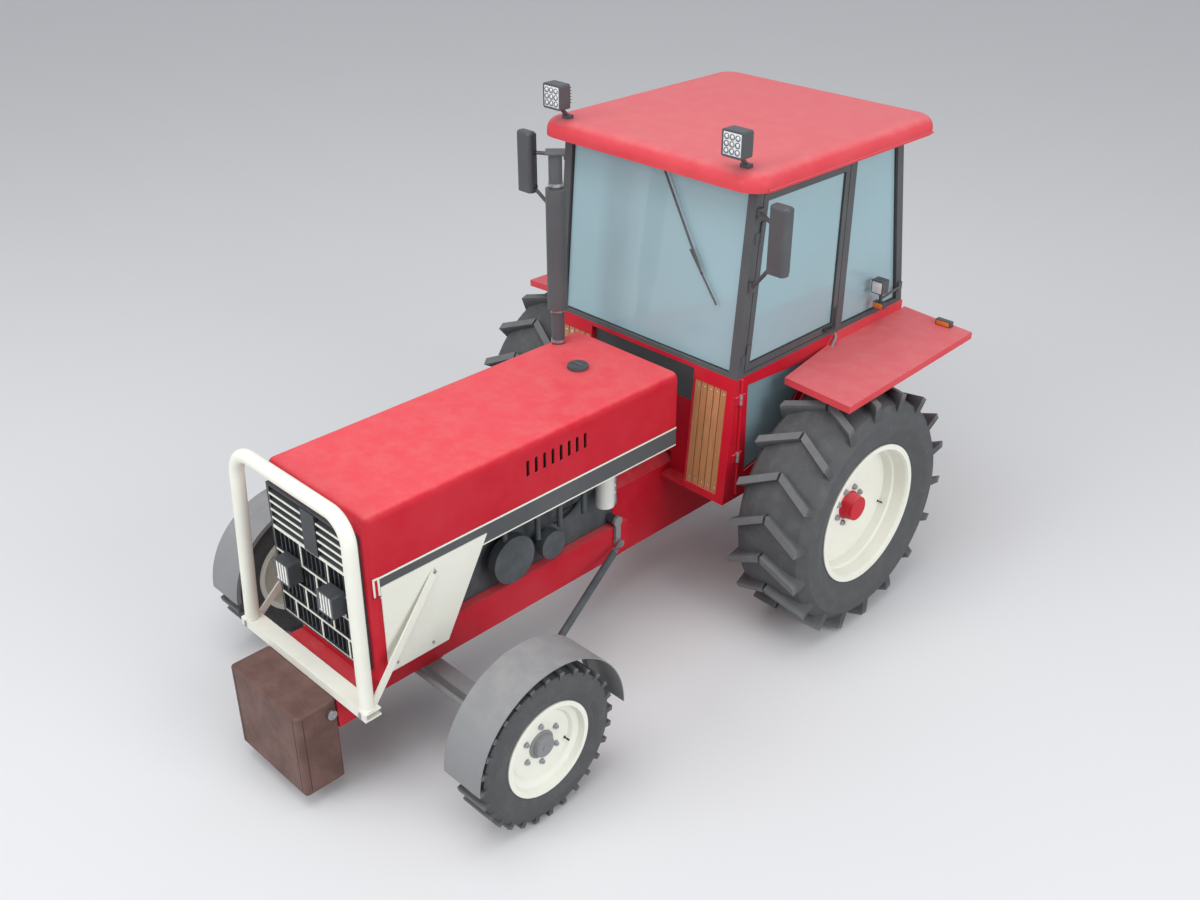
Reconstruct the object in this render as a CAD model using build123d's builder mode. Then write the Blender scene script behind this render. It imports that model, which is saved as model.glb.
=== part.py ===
from build123d import *
import os
from math import sqrt

# Vintage farm tractor with cab, in millimetres.
# The nose points along -Y, the driver's left is +X, and the wheels stand on z = 0.
# Places along the tractor are given as distances ahead of the rear axle.

# Stance
WHEELBASE = 2600
FRONT_REACH = 3505
REAR_REACH = 1180
REAR_AXLE_Y = (FRONT_REACH - REAR_REACH) / 2
FRONT_AXLE_Y = REAR_AXLE_Y - WHEELBASE
SIDES = {"left": 1, "right": -1}

# Rear wheels
REAR_TYRE_R = 799
REAR_CARCASS_R = 752
REAR_TYRE_W = 548
REAR_TRACK_HALF = 1160
REAR_RIM_R = 463
REAR_BEAD_R = 432
REAR_RIM_W = 470
REAR_DISC_X = 1236
REAR_HUB_FACE_X = 1313
REAR_HUB_R = 78
REAR_LUGS = 18
REAR_LUG_W = 50
REAR_LUG_REACH = 252
REAR_LUG_SWEEP = 128
REAR_SHAFT_R = 40
REAR_HUB_IN_X = 1115
REAR_SHAFT_IN = 110
RIM_T = 8

# Front wheels
FRONT_TYRE_R = 463
FRONT_CARCASS_R = 449
FRONT_TYRE_W = 240
FRONT_TRACK_HALF = 1150
FRONT_RIM_R = 281
FRONT_BEAD_R = 258
FRONT_RIM_W = 205
FRONT_DISC_X = 1188
FRONT_HUB_FACE_X = 1226
FRONT_HUB_R = 58
FRONT_LUGS = 28
FRONT_LUG_W = 30
FRONT_HUB_IN_X = 1040
FRONT_LUG_REACH = 103
SPINDLE_R = 30

# Front axle and steering
KINGPIN_X = 930
KINGPIN_R = 22
KNUCKLE_R = 45
BEAM_W = 100
BEAM_H = 100
BEAM_TOP = 495
TIE_ARM = 95
TIE_ROD_Z = 470
TIE_ROD_R = 17
TIE_BALL_R = 20
ARM_T = 20
DRAG_BALL_X = 859
DRAG_BALL_AHEAD = 2624
DRAG_BALL_Z = 315
DRAG_ROD_R = 14
DRAG_EYE = 26
DROP_BALL_X = 340
DROP_BALL_AHEAD = 1139
DROP_BALL_Z = 622
DROP_ARM = 150
BALL_R = 24
DROP_EYE = 28
DROP_SHAFT_R = 20
PIN_GAP = 0.5
KNUCKLE_BLOCK_IN = 60
KNUCKLE_BLOCK_OUT = 92

# Front mudguards
GUARD_R = 514
GUARD_T = 5
GUARD_IN_X = 985
GUARD_OUT_X = 1262
GUARD_SHIFT = 33

# Chassis
RAIL_X = 300
RAIL_T = 40
RAIL_BOTTOM = 500
RAIL_TOP = 730
RAIL_REAR_AHEAD = 1090
BOLSTER_X = 320
BOLSTER_FRONT_AHEAD = 3255
BOLSTER_TOP = 640
BOLSTER_BOTTOM = 440

# Weight box
BOX_W = 640
BOX_LEN = 250
BOX_TOP = 640
BOX_BOTTOM = 110
BOX_EDGE_R = 22

# Bull bar
BAR_R = 40
BAR_TOP_X = 500
BAR_FOOT_X = 545
BAR_TOP_Z = 1790
BAR_FOOT_Z = 665
BAR_TOP_AHEAD = 3180
BAR_FOOT_AHEAD = 3215
BAR_BEND_R = 150
STAY_AHEAD = 2655
STAY_Z = 1228

# Hood
HOOD_X = 443
HOOD_TOP = 1710
HOOD_FRONT_AHEAD = 3050
HOOD_REAR_AHEAD = 765
HOOD_EDGE_R = 45
HOOD_SKIN = 8
STRIPE_TOP = 1348
STRIPE_BOTTOM = 1222
NOSE_BOTTOM = 690
NOSE_DEPTH = 60
VENTS = 8
VENT_W = 23
VENT_H = 104
VENT_FIRST_AHEAD = 1975
VENT_LAST_AHEAD = 1538
VENT_Z = 1554
GRILLE_X = 385
GRILLE_TOP = 1600
GRILLE_BOTTOM = 760
GRILLE_PROUD = 45
GRILLE_RIM = 14
GRILLE_BACK_AHEAD = 3010
GRILLE_BREAK_Z = 1330
LAMP_X = 201
LAMP_Z = 1145
LAMP_W = 140
LAMP_DEEP = 85
STRIPE_T = 3
STRIPE_FRONT_AHEAD = 3000
PANEL_OUT = 9
PANEL_TOP = 1285
PANEL_BOTTOM = 735
PANEL_FRONT_AHEAD = 2996
PANEL_REAR_FOOT_AHEAD = 2596
PANEL_REAR_HEAD_AHEAD = 2290

# Engine and transmission
ENGINE_X = 235
ENGINE_FRONT_AHEAD = 2600
ENGINE_REAR_AHEAD = 1110
ENGINE_BOTTOM = 640
ENGINE_TOP = 1440
GEARBOX_X = 240
GEARBOX_TOP = 1010
GEARBOX_BOTTOM = 445
GEARBOX_SHOULDER = 70
AXLE_TUBE_R = 110
GEARBOX_REAR_AHEAD = -330
RADIATOR_X = 330
TANK_TOP = 1640
TANK_BOTTOM = 1460

# Exhaust and cap
EXHAUST_X = -380
EXHAUST_AHEAD = 965
EXHAUST_TOP = 2918
MUFFLER_BOTTOM = 1944
MUFFLER_TOP = 2704
MUFFLER_R = 62
EXHAUST_PIPE_R = 41
CAP_X = -30
CAP_AHEAD = 1135
CAP_R = 62
CAP_H = 25
FILLER_R = 45

# Cab
CAB_X = 765
CAB_BOTTOM = 880
BELT_Z = 1730
CAB_FRONT_AHEAD = 675
CAB_LEAN = 0.082
POST_W = 62
POST_T = 50
HEADER_H = 50
BELT_H = 25
DOOR_GAP = 6
DOOR_T = 30
DOOR_FRAME = 42
HINGE_OUT = 10
HINGE_R = 9
HINGE_H = 60
HINGES = (1860, 2600)
LEAF_FRONT_AHEAD = 585
DECK_Z = 1042
DECK_T = 12
SLAT_IN_X = 451
SLAT_BOTTOM = 931
SLAT_TOP = 1627
B_POST_AHEAD = -405
C_POST_FOOT_AHEAD = -1120
C_POST_HEAD_AHEAD = -915
WALL_T = 40
GLASS_T = 6
ROOF_X = 875
ROOF_FRONT_AHEAD = 655
ROOF_REAR_AHEAD = -1165
ROOF_BOTTOM = 2870
ROOF_TOP = 2978
ROOF_CORNER_R = 150
ROOF_EDGE_R = 80

# Rear fenders
FENDER_FRONT_IN = (864, 263)
FENDER_FRONT_OUT = (1368, 306)
FENDER_REAR_OUT = (1319, -1113)
FENDER_REAR_IN_AHEAD = -1167
FENDER_TOP = 1655
FENDER_T = 12
FENDER_LIP = 45


def ahead(distance):
    """Y of a place that lies this far ahead of the rear axle."""
    return REAR_AXLE_Y - distance


def keep(piece, name):
    """Label one finished piece and write it as its own STEP file."""
    piece.part.label = name
    export_step(piece.part, f"parts/{name}.step")


os.makedirs("parts", exist_ok=True)


def keep_pair(piece, name):
    """Keep a left-hand piece and its mirror image on the right."""
    keep(piece, f"{name}_left")
    with BuildPart() as twin:
        mirror(piece.part, about=Plane.YZ)
    keep(twin, f"{name}_right")


def side_prism(points, x_from, x_to, mode=Mode.ADD):
    """Extrude a side-view outline of (ahead, z) corners from one x to another."""
    with BuildSketch(Plane.YZ.offset(x_from)) as outline:
        with BuildLine():
            Polyline(*[(ahead(d), z) for d, z in points], close=True)
        make_face()
    extrude(outline.sketch, amount=x_to - x_from, mode=mode)


def front_prism(points, d_from, d_to, mode=Mode.ADD):
    """Extrude a front-view outline of (x, z) corners between two distances ahead."""
    with BuildSketch(Plane.XZ.offset(-ahead(d_from))) as outline:
        with BuildLine():
            Polyline(*points, close=True)
        make_face()
    extrude(outline.sketch, amount=d_to - d_from, mode=mode)


def block(x_from, x_to, d_rear, d_front, z_from, z_to, mode=Mode.ADD):
    """A straight bar or plate given by its six faces."""
    side_prism([(d_rear, z_from), (d_front, z_from), (d_front, z_to), (d_rear, z_to)], x_from, x_to, mode)


def rod(start, end, radius, mode=Mode.ADD):
    """A round bar between two points."""
    run = Vector(*end) - Vector(*start)
    with BuildSketch(Plane(origin=start, z_dir=run)) as section:
        Circle(radius)
    extrude(section.sketch, amount=run.length, mode=mode)


def spin(points, centre, mode=Mode.ADD):
    """Turn a closed (x, radius) outline about a wheel's axle at the given centre."""
    with BuildSketch(Plane(origin=(0, centre[1], centre[2]))) as outline:
        with BuildLine():
            Polyline(*points, close=True)
        make_face()
    revolve(outline.sketch, axis=Axis((0, centre[1], centre[2]), (1, 0, 0)), mode=mode)


# Rear wheels: a lugged tyre on a dished rim, with a capped hub on a stub shaft.
axle = (0, REAR_AXLE_Y, REAR_TYRE_R)
mid = REAR_TRACK_HALF
half = REAR_TYRE_W / 2
bead = REAR_RIM_W / 2 - 10
shoulder = REAR_CARCASS_R - 30

with BuildPart() as rear_tyre:
    spin(
        [
            (mid - bead, REAR_BEAD_R),
            (mid - bead, REAR_RIM_R),
            (mid - half, REAR_RIM_R + 115),
            (mid - half + 4, REAR_RIM_R + 200),
            (mid - half * 0.8, shoulder),
            (mid - half * 0.42, REAR_CARCASS_R - 5),
            (mid, REAR_CARCASS_R),
            (mid + half * 0.42, REAR_CARCASS_R - 5),
            (mid + half * 0.8, shoulder),
            (mid + half - 4, REAR_RIM_R + 200),
            (mid + half, REAR_RIM_R + 115),
            (mid + bead, REAR_RIM_R),
            (mid + bead, REAR_BEAD_R),
        ],
        axle,
    )
    bar_y = REAR_LUG_SWEEP / 2
    bar_half = REAR_LUG_W / 2
    bar_top = sqrt(REAR_TYRE_R**2 - (bar_y + bar_half) ** 2)
    for turn in range(REAR_LUGS):
        spun = Plane(origin=axle, x_dir=(1, 0, 0), z_dir=(0, 0, 1)).rotated((turn * 360 / REAR_LUGS, 0, 0))
        with BuildSketch(spun.offset(shoulder - 60)) as bars:
            for row in (1, -1):
                with BuildLine():
                    Polyline(
                        (mid + row * 8, bar_y - bar_half),
                        (mid + row * REAR_LUG_REACH, -bar_y - bar_half),
                        (mid + row * REAR_LUG_REACH, -bar_y + bar_half),
                        (mid + row * 8, bar_y + bar_half),
                        close=True,
                    )
                make_face()
        extrude(bars.sketch, amount=bar_top - shoulder + 60)
keep_pair(rear_tyre, "rear_tyre")

out_x = mid + REAR_RIM_W / 2
in_x = mid - REAR_RIM_W / 2
with BuildPart() as rear_rim:
    spin(
        [
            (out_x, REAR_RIM_R),
            (out_x - RIM_T, REAR_RIM_R),
            (out_x - RIM_T, REAR_BEAD_R),
            (in_x + RIM_T, REAR_BEAD_R),
            (in_x + RIM_T, REAR_RIM_R),
            (in_x, REAR_RIM_R),
            (in_x, REAR_BEAD_R - 10),
            (REAR_DISC_X - 2 * RIM_T, REAR_BEAD_R - 10),
            (REAR_DISC_X - 2 * RIM_T, REAR_HUB_R + 10),
            (REAR_HUB_IN_X, REAR_HUB_R + 10),
            (REAR_HUB_IN_X, REAR_SHAFT_R),
            (REAR_HUB_IN_X - REAR_SHAFT_IN, REAR_SHAFT_R),
            (REAR_HUB_IN_X - REAR_SHAFT_IN, 0),
            (REAR_HUB_FACE_X, 0),
            (REAR_HUB_FACE_X, REAR_HUB_R),
            (REAR_DISC_X, REAR_HUB_R),
            (REAR_DISC_X, REAR_BEAD_R - 42),
            (REAR_DISC_X + 55, REAR_BEAD_R - 32),
            (REAR_DISC_X + 65, REAR_BEAD_R - 16),
            (out_x - 2 * RIM_T, REAR_BEAD_R - 10),
            (out_x, REAR_BEAD_R - 2),
        ],
        axle,
    )
keep_pair(rear_rim, "rear_rim")

# Front wheels: the same way, on the knuckle's spindle.
axle = (0, FRONT_AXLE_Y, FRONT_TYRE_R)
mid = FRONT_TRACK_HALF
half = FRONT_TYRE_W / 2
bead = FRONT_RIM_W / 2 - 8
with BuildPart() as front_tyre:
    spin(
        [
            (mid - bead, FRONT_BEAD_R),
            (mid - bead, FRONT_RIM_R),
            (mid - half, FRONT_RIM_R + 60),
            (mid - half + 2, FRONT_RIM_R + 105),
            (mid - half * 0.78, FRONT_CARCASS_R - 12),
            (mid, FRONT_CARCASS_R),
            (mid + half * 0.78, FRONT_CARCASS_R - 12),
            (mid + half - 2, FRONT_RIM_R + 105),
            (mid + half, FRONT_RIM_R + 60),
            (mid + bead, FRONT_RIM_R),
            (mid + bead, FRONT_BEAD_R),
        ],
        axle,
    )
    bar_top = sqrt(FRONT_TYRE_R**2 - (FRONT_LUG_W / 2) ** 2)
    bar_foot = FRONT_CARCASS_R - 45
    for turn in range(FRONT_LUGS):
        spun = Plane(origin=axle, x_dir=(1, 0, 0), z_dir=(0, 0, 1)).rotated((turn * 360 / FRONT_LUGS, 0, 0))
        with BuildSketch(spun.offset(bar_foot)) as bar:
            with Locations((mid, 0)):
                Rectangle(2 * FRONT_LUG_REACH, FRONT_LUG_W)
        extrude(bar.sketch, amount=bar_top - bar_foot)
keep_pair(front_tyre, "front_tyre")

out_x = mid + FRONT_RIM_W / 2
in_x = mid - FRONT_RIM_W / 2
with BuildPart() as front_rim:
    spin(
        [
            (out_x, FRONT_RIM_R),
            (out_x - RIM_T, FRONT_RIM_R),
            (out_x - RIM_T, FRONT_BEAD_R),
            (in_x + RIM_T, FRONT_BEAD_R),
            (in_x + RIM_T, FRONT_RIM_R),
            (in_x, FRONT_RIM_R),
            (in_x, FRONT_BEAD_R - 8),
            (FRONT_DISC_X - 2 * RIM_T, FRONT_BEAD_R - 8),
            (FRONT_DISC_X - 2 * RIM_T, FRONT_HUB_R + 8),
            (FRONT_HUB_IN_X, FRONT_HUB_R + 8),
            (FRONT_HUB_IN_X, SPINDLE_R + PIN_GAP),
            (FRONT_DISC_X - RIM_T, SPINDLE_R + PIN_GAP),
            (FRONT_DISC_X - RIM_T, 0),
            (FRONT_HUB_FACE_X, 0),
            (FRONT_HUB_FACE_X, FRONT_HUB_R),
            (FRONT_DISC_X, FRONT_HUB_R),
            (FRONT_DISC_X, FRONT_BEAD_R - 62),
            (FRONT_DISC_X + 18, FRONT_BEAD_R - 48),
            (FRONT_DISC_X + 30, FRONT_BEAD_R - 14),
            (out_x, FRONT_BEAD_R - 4),
        ],
        axle,
    )
keep_pair(front_rim, "front_rim")

# Knuckles: kingpin post, wheel spindle and steering arms. Mudguards stand on them.
tie_ball_y = FRONT_AXLE_Y - TIE_ARM
hub_z = FRONT_TYRE_R
beam_low = BEAM_TOP - BEAM_H
arm_z = BEAM_TOP + 10
foot_z = BEAM_TOP + 60
drag_ball = (DRAG_BALL_X, ahead(DRAG_BALL_AHEAD))
for side, sign in SIDES.items():
    pin_x = sign * KINGPIN_X
    block_in = pin_x + sign * KNUCKLE_BLOCK_IN
    block_out = pin_x + sign * KNUCKLE_BLOCK_OUT
    with BuildPart() as knuckle:
        rod((pin_x, FRONT_AXLE_Y, beam_low - 95), (pin_x, FRONT_AXLE_Y, BEAM_TOP + 90), KINGPIN_R)
        rod((pin_x, FRONT_AXLE_Y, beam_low - 95), (pin_x, FRONT_AXLE_Y, beam_low - 6), KNUCKLE_R)
        rod((pin_x, FRONT_AXLE_Y, BEAM_TOP + 6), (pin_x, FRONT_AXLE_Y, BEAM_TOP + 95), KNUCKLE_R)
        block(block_in, block_out, WHEELBASE - 42, WHEELBASE + 42, beam_low - 60, foot_z)
        for level in (beam_low - 60, BEAM_TOP + 20):
            block(pin_x, block_out, WHEELBASE - 35, WHEELBASE + 35, level, level + 40)
        rod((block_in, FRONT_AXLE_Y, hub_z), (sign * (FRONT_DISC_X - 12), FRONT_AXLE_Y, hub_z), SPINDLE_R)
        block(pin_x - TIE_BALL_R, pin_x + TIE_BALL_R, WHEELBASE, WHEELBASE + TIE_ARM, arm_z, arm_z + ARM_T)
        rod((pin_x, tie_ball_y, TIE_ROD_Z + TIE_ROD_R), (pin_x, tie_ball_y, arm_z + ARM_T), TIE_BALL_R * 0.6)
        if side == "left":
            arm_level = DRAG_BALL_Z + DRAG_EYE + ARM_T / 2
            rod((pin_x, FRONT_AXLE_Y, arm_level + 4), (*drag_ball, arm_level + 4), 12)
            rod((*drag_ball, arm_level - ARM_T / 2), (*drag_ball, arm_level + ARM_T), BALL_R)
    keep(knuckle, f"knuckle_{side}")

    guard_y = FRONT_AXLE_Y + GUARD_SHIFT
    guard_in = sign * GUARD_IN_X
    inner_r = GUARD_R - GUARD_T
    with BuildPart() as mudguard:
        for depth, radius in ((GUARD_OUT_X - GUARD_IN_X, inner_r), (GUARD_T, inner_r - 22)):
            with BuildSketch(Plane(origin=(guard_in, guard_y, hub_z), x_dir=(0, 1, 0), z_dir=(1, 0, 0))) as arch:
                Circle(GUARD_R)
                Circle(radius, mode=Mode.SUBTRACT)
                with Locations((0, -GUARD_R)):
                    Rectangle(3 * GUARD_R, 2 * GUARD_R, mode=Mode.SUBTRACT)
            extrude(arch.sketch, amount=sign * depth)
        block(block_in, block_out, WHEELBASE - 35, WHEELBASE + 35, foot_z, foot_z + 10)
        block(
            block_in - sign * 10, block_in, WHEELBASE - 25, WHEELBASE + 25,
            foot_z, hub_z + inner_r - 10,
        )
    keep(mudguard, f"mudguard_{side}")

# Front axle beam, with an eye for each kingpin and a pivot boss under the bolster.
with BuildPart() as front_axle_beam:
    block(-KINGPIN_X, KINGPIN_X, WHEELBASE - BEAM_W / 2, WHEELBASE + BEAM_W / 2, beam_low, BEAM_TOP)
    for sign in SIDES.values():
        rod((sign * KINGPIN_X, FRONT_AXLE_Y, beam_low), (sign * KINGPIN_X, FRONT_AXLE_Y, BEAM_TOP), KNUCKLE_R + 5)
    for sign in SIDES.values():
        rod(
            (sign * KINGPIN_X, FRONT_AXLE_Y, beam_low), (sign * KINGPIN_X, FRONT_AXLE_Y, BEAM_TOP),
            KINGPIN_R + PIN_GAP, Mode.SUBTRACT,
        )
keep(front_axle_beam, "front_axle_beam")

# Tie rod between the two forward arms.
with BuildPart() as tie_rod:
    rod((-KINGPIN_X, tie_ball_y, TIE_ROD_Z), (KINGPIN_X, tie_ball_y, TIE_ROD_Z), TIE_ROD_R)
    for sign in SIDES.values():
        rod(
            (sign * KINGPIN_X, tie_ball_y, TIE_ROD_Z - TIE_ROD_R),
            (sign * KINGPIN_X, tie_ball_y, TIE_ROD_Z + TIE_ROD_R - PIN_GAP),
            TIE_BALL_R,
        )
keep(tie_rod, "tie_rod")

# Drag link from the drop arm on the gearbox down to the left knuckle's arm.
with BuildPart() as drag_link:
    rod(
        (DROP_BALL_X, ahead(DROP_BALL_AHEAD), DROP_BALL_Z),
        (DRAG_BALL_X, ahead(DRAG_BALL_AHEAD), DRAG_BALL_Z),
        DRAG_ROD_R,
    )
    rod(
        (DRAG_BALL_X, ahead(DRAG_BALL_AHEAD), DRAG_BALL_Z - 20),
        (DRAG_BALL_X, ahead(DRAG_BALL_AHEAD), DRAG_BALL_Z + DRAG_EYE - PIN_GAP),
        BALL_R,
    )
    rod(
        (DROP_BALL_X - DROP_EYE / 2, ahead(DROP_BALL_AHEAD), DROP_BALL_Z),
        (DROP_BALL_X + DROP_EYE / 2, ahead(DROP_BALL_AHEAD), DROP_BALL_Z),
        BALL_R,
    )
keep(drag_link, "drag_link")

drop_pin_z = DROP_BALL_Z + DROP_ARM
drop_y = ahead(DROP_BALL_AHEAD)
drop_out = DROP_BALL_X - DROP_EYE / 2 - PIN_GAP
drop_in = drop_out - ARM_T
with BuildPart() as drop_arm:
    block(drop_in, drop_out, DROP_BALL_AHEAD - 20, DROP_BALL_AHEAD + 20, DROP_BALL_Z, drop_pin_z)
    for z, r in ((DROP_BALL_Z, 26), (drop_pin_z, 34)):
        rod((drop_in, drop_y, z), (drop_out, drop_y, z), r)
    rod((ENGINE_X + 25, drop_y, drop_pin_z), (drop_out, drop_y, drop_pin_z), DROP_SHAFT_R)
keep(drop_arm, "drop_arm")

# Frame: two side rails, the front bolster, and the cross member over the axle.
bolster_rear = HOOD_FRONT_AHEAD - HOOD_SKIN
with BuildPart() as frame_rails:
    for sign in SIDES.values():
        block(sign * (RAIL_X - RAIL_T), sign * RAIL_X, RAIL_REAR_AHEAD, bolster_rear, RAIL_BOTTOM, RAIL_TOP)
        block(sign * (RAIL_X - 60), sign * RAIL_X, RAIL_REAR_AHEAD, bolster_rear, RAIL_TOP - 14, RAIL_TOP)
    block(-RAIL_X, RAIL_X, WHEELBASE - 70, WHEELBASE + 70, BEAM_TOP, RAIL_BOTTOM + 70)
    block(-BOLSTER_X, BOLSTER_X, bolster_rear, BOLSTER_FRONT_AHEAD, BOLSTER_BOTTOM, BOLSTER_TOP)
    block(-RAIL_X, RAIL_X, bolster_rear - 60, bolster_rear, RAIL_BOTTOM, RAIL_TOP)
    for sign in SIDES.values():
        block(sign * GEARBOX_X, sign * RAIL_X, RAIL_REAR_AHEAD - 60, RAIL_REAR_AHEAD, RAIL_BOTTOM + 40, RAIL_TOP)
keep(frame_rails, "frame_rails")

# Ballast box hung on the bolster's face, with its carrying pin.
with BuildPart() as weight_box:
    with BuildSketch(Plane.XY.offset(BOX_BOTTOM)) as box_plan:
        with Locations((0, ahead(BOLSTER_FRONT_AHEAD + BOX_LEN / 2))):
            RectangleRounded(BOX_W, BOX_LEN, BOX_EDGE_R)
    extrude(box_plan.sketch, amount=BOX_TOP - BOX_BOTTOM)
    fillet(weight_box.faces().sort_by(Axis.Z)[-1].edges(), BOX_EDGE_R * 0.6)
    pin_at = (ahead(BOLSTER_FRONT_AHEAD + 45), BOX_TOP - 75)
    rod((-BOX_W / 2 - 22, *pin_at), (BOX_W / 2 + 22, *pin_at), 26)
keep(weight_box, "weight_box")


def bent_tube(points, bend, radius):
    """A round tube along straight runs with one bend radius."""
    with BuildLine() as path:
        FilletPolyline(*points, radius=bend)
    with BuildSketch(Plane(origin=path.line @ 0, z_dir=path.line % 0)) as section:
        Circle(radius)
    sweep(section.sketch, path=path.line)


def flat_bar(start, end, width, thickness, across=(1, 0, 0)):
    """A flat bar between two points, its width lying along the given direction."""
    run = Vector(*end) - Vector(*start)
    with BuildSketch(Plane(origin=start, x_dir=Vector(*across).cross(run), z_dir=run)) as section:
        Rectangle(width, thickness)
    extrude(section.sketch, amount=run.length)


# Bull bar: a bent tube on a cross channel, stayed back to the hood sides.
channel_top = BAR_FOOT_Z + 25
with BuildPart() as bull_bar:
    bent_tube(
        [
            (BAR_FOOT_X, ahead(BAR_FOOT_AHEAD), channel_top - 4),
            (BAR_TOP_X, ahead(BAR_TOP_AHEAD), BAR_TOP_Z),
            (-BAR_TOP_X, ahead(BAR_TOP_AHEAD), BAR_TOP_Z),
            (-BAR_FOOT_X, ahead(BAR_FOOT_AHEAD), channel_top - 4),
        ],
        BAR_BEND_R,
        BAR_R,
    )
    block(
        -BAR_FOOT_X - 45, BAR_FOOT_X + 45, BAR_FOOT_AHEAD - 55, BAR_FOOT_AHEAD + 45,
        BOLSTER_TOP, channel_top,
    )
    block(
        -BAR_FOOT_X - 45, BAR_FOOT_X + 45, BAR_FOOT_AHEAD - 60, BAR_FOOT_AHEAD + 35,
        BOLSTER_TOP + 10, channel_top - 10, Mode.SUBTRACT,
    )
    for sign in SIDES.values():
        flat_bar(
            (sign * (BAR_FOOT_X - 5), ahead(BAR_FOOT_AHEAD - 45), channel_top - 6),
            (sign * (HOOD_X + PANEL_OUT + 6), ahead(STAY_AHEAD), STAY_Z),
            44, 10,
        )
keep(bull_bar, "bull_bar")

# Hood: one pressed shell with rounded edges, open below and behind.
with BuildPart() as hood:
    for inset, mode in ((0, Mode.ADD), (HOOD_SKIN, Mode.SUBTRACT)):
        with BuildPart(mode=Mode.PRIVATE) as form:
            block(
                inset - HOOD_X, HOOD_X - inset, HOOD_REAR_AHEAD - inset, HOOD_FRONT_AHEAD - inset,
                NOSE_BOTTOM - inset, HOOD_TOP - inset,
            )
            top = form.faces().sort_by(Axis.Z)[-1]
            upright = form.edges().filter_by(Axis.Z).group_by(Axis.Y)[0]
            rims = top.edges().sort_by(Axis.Y)[:-1]
            fillet(upright + rims, HOOD_EDGE_R - inset)
        add(form.part, mode=mode)
    block(
        -HOOD_X, HOOD_X, HOOD_REAR_AHEAD, HOOD_FRONT_AHEAD - NOSE_DEPTH,
        NOSE_BOTTOM, STRIPE_BOTTOM, Mode.SUBTRACT,
    )
    block(
        -GRILLE_X, GRILLE_X, HOOD_FRONT_AHEAD - NOSE_DEPTH, HOOD_FRONT_AHEAD,
        GRILLE_BOTTOM, GRILLE_TOP, Mode.SUBTRACT,
    )
    vent_mid = (VENT_FIRST_AHEAD + VENT_LAST_AHEAD) / 2
    vent_pitch = (VENT_FIRST_AHEAD - VENT_LAST_AHEAD) / (VENTS - 1)
    with BuildSketch(Plane.YZ.offset(-HOOD_X)) as vents:
        with Locations((ahead(vent_mid), VENT_Z)):
            with GridLocations(vent_pitch, 0, VENTS, 1):
                SlotOverall(VENT_H, VENT_W, rotation=90)
    extrude(vents.sketch, amount=2 * HOOD_X, mode=Mode.SUBTRACT)
    for x, d, radius in ((EXHAUST_X, EXHAUST_AHEAD, EXHAUST_PIPE_R), (CAP_X, CAP_AHEAD, FILLER_R)):
        rod((x, ahead(d), HOOD_TOP - 100), (x, ahead(d), HOOD_TOP + 1), radius + PIN_GAP, Mode.SUBTRACT)
keep(hood, "hood")

# Side stripes on the hood's lower edge, and the front side panels over them.
with BuildPart() as side_stripes:
    for sign in SIDES.values():
        block(sign * HOOD_X, sign * (HOOD_X + STRIPE_T), HOOD_REAR_AHEAD, STRIPE_FRONT_AHEAD, STRIPE_BOTTOM, STRIPE_TOP)
keep(side_stripes, "side_stripes")

with BuildPart() as side_panels:
    for sign in SIDES.values():
        side_prism(
            [
                (PANEL_FRONT_AHEAD, PANEL_TOP),
                (PANEL_FRONT_AHEAD, PANEL_BOTTOM),
                (PANEL_REAR_FOOT_AHEAD, PANEL_BOTTOM),
                (PANEL_REAR_HEAD_AHEAD, PANEL_TOP),
            ],
            sign * (HOOD_X + STRIPE_T),
            sign * (HOOD_X + PANEL_OUT),
        )
keep(side_panels, "side_panels")

# Radiator core behind the grille, standing on the rails.
with BuildPart() as radiator:
    block(-RADIATOR_X, RADIATOR_X, GRILLE_BACK_AHEAD - 100, GRILLE_BACK_AHEAD - 20, RAIL_TOP, GRILLE_TOP)
    for z in (GRILLE_BOTTOM + 40, GRILLE_TOP - 60):
        block(-RADIATOR_X - 20, RADIATOR_X + 20, GRILLE_BACK_AHEAD - 20, GRILLE_BACK_AHEAD, z, z + 30)
keep(radiator, "radiator")

# Grille: a deep tray rim with louvres above and staggered slotted rows below.
grille_front = HOOD_FRONT_AHEAD + GRILLE_PROUD
rows = 4
row_h = (GRILLE_BREAK_Z - GRILLE_BOTTOM) / rows
louvres = 5
louvre_h = (GRILLE_TOP - GRILLE_RIM - GRILLE_BREAK_Z) / louvres
inner_x = GRILLE_X - GRILLE_RIM
with BuildPart() as grille:
    block(-GRILLE_X, GRILLE_X, GRILLE_BACK_AHEAD, grille_front, GRILLE_BOTTOM, GRILLE_TOP)
    block(-inner_x, inner_x, GRILLE_BACK_AHEAD, grille_front, GRILLE_BOTTOM + GRILLE_RIM, GRILLE_TOP - GRILLE_RIM, Mode.SUBTRACT)
    block(-62, 62, grille_front - 55, grille_front + 6, GRILLE_BREAK_Z, GRILLE_TOP - GRILLE_RIM)
    for level in range(louvres):
        z = GRILLE_BREAK_Z + level * louvre_h - 3
        side_prism(
            [(grille_front, z), (grille_front, z + 9), (grille_front - 45, z + 34), (grille_front - 45, z + 25)],
            -inner_x, inner_x,
        )
    for level in range(rows):
        z = GRILLE_BOTTOM + level * row_h
        block(-inner_x, inner_x, grille_front - 40, grille_front, z + row_h - 10, z + row_h)
        shift = inner_x / 3 if level % 2 else 0
        for place in (-2 / 3, 0, 2 / 3):
            x = place * inner_x + shift
            if abs(x) < inner_x - 8:
                block(x - 6, x + 6, grille_front - 40, grille_front, z, z + row_h)
        for slat in range(1, 18):
            x = -inner_x + slat * inner_x / 9
            block(x - 5, x + 5, grille_front - 34, grille_front - 12, z, z + row_h)
keep(grille, "grille")

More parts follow.
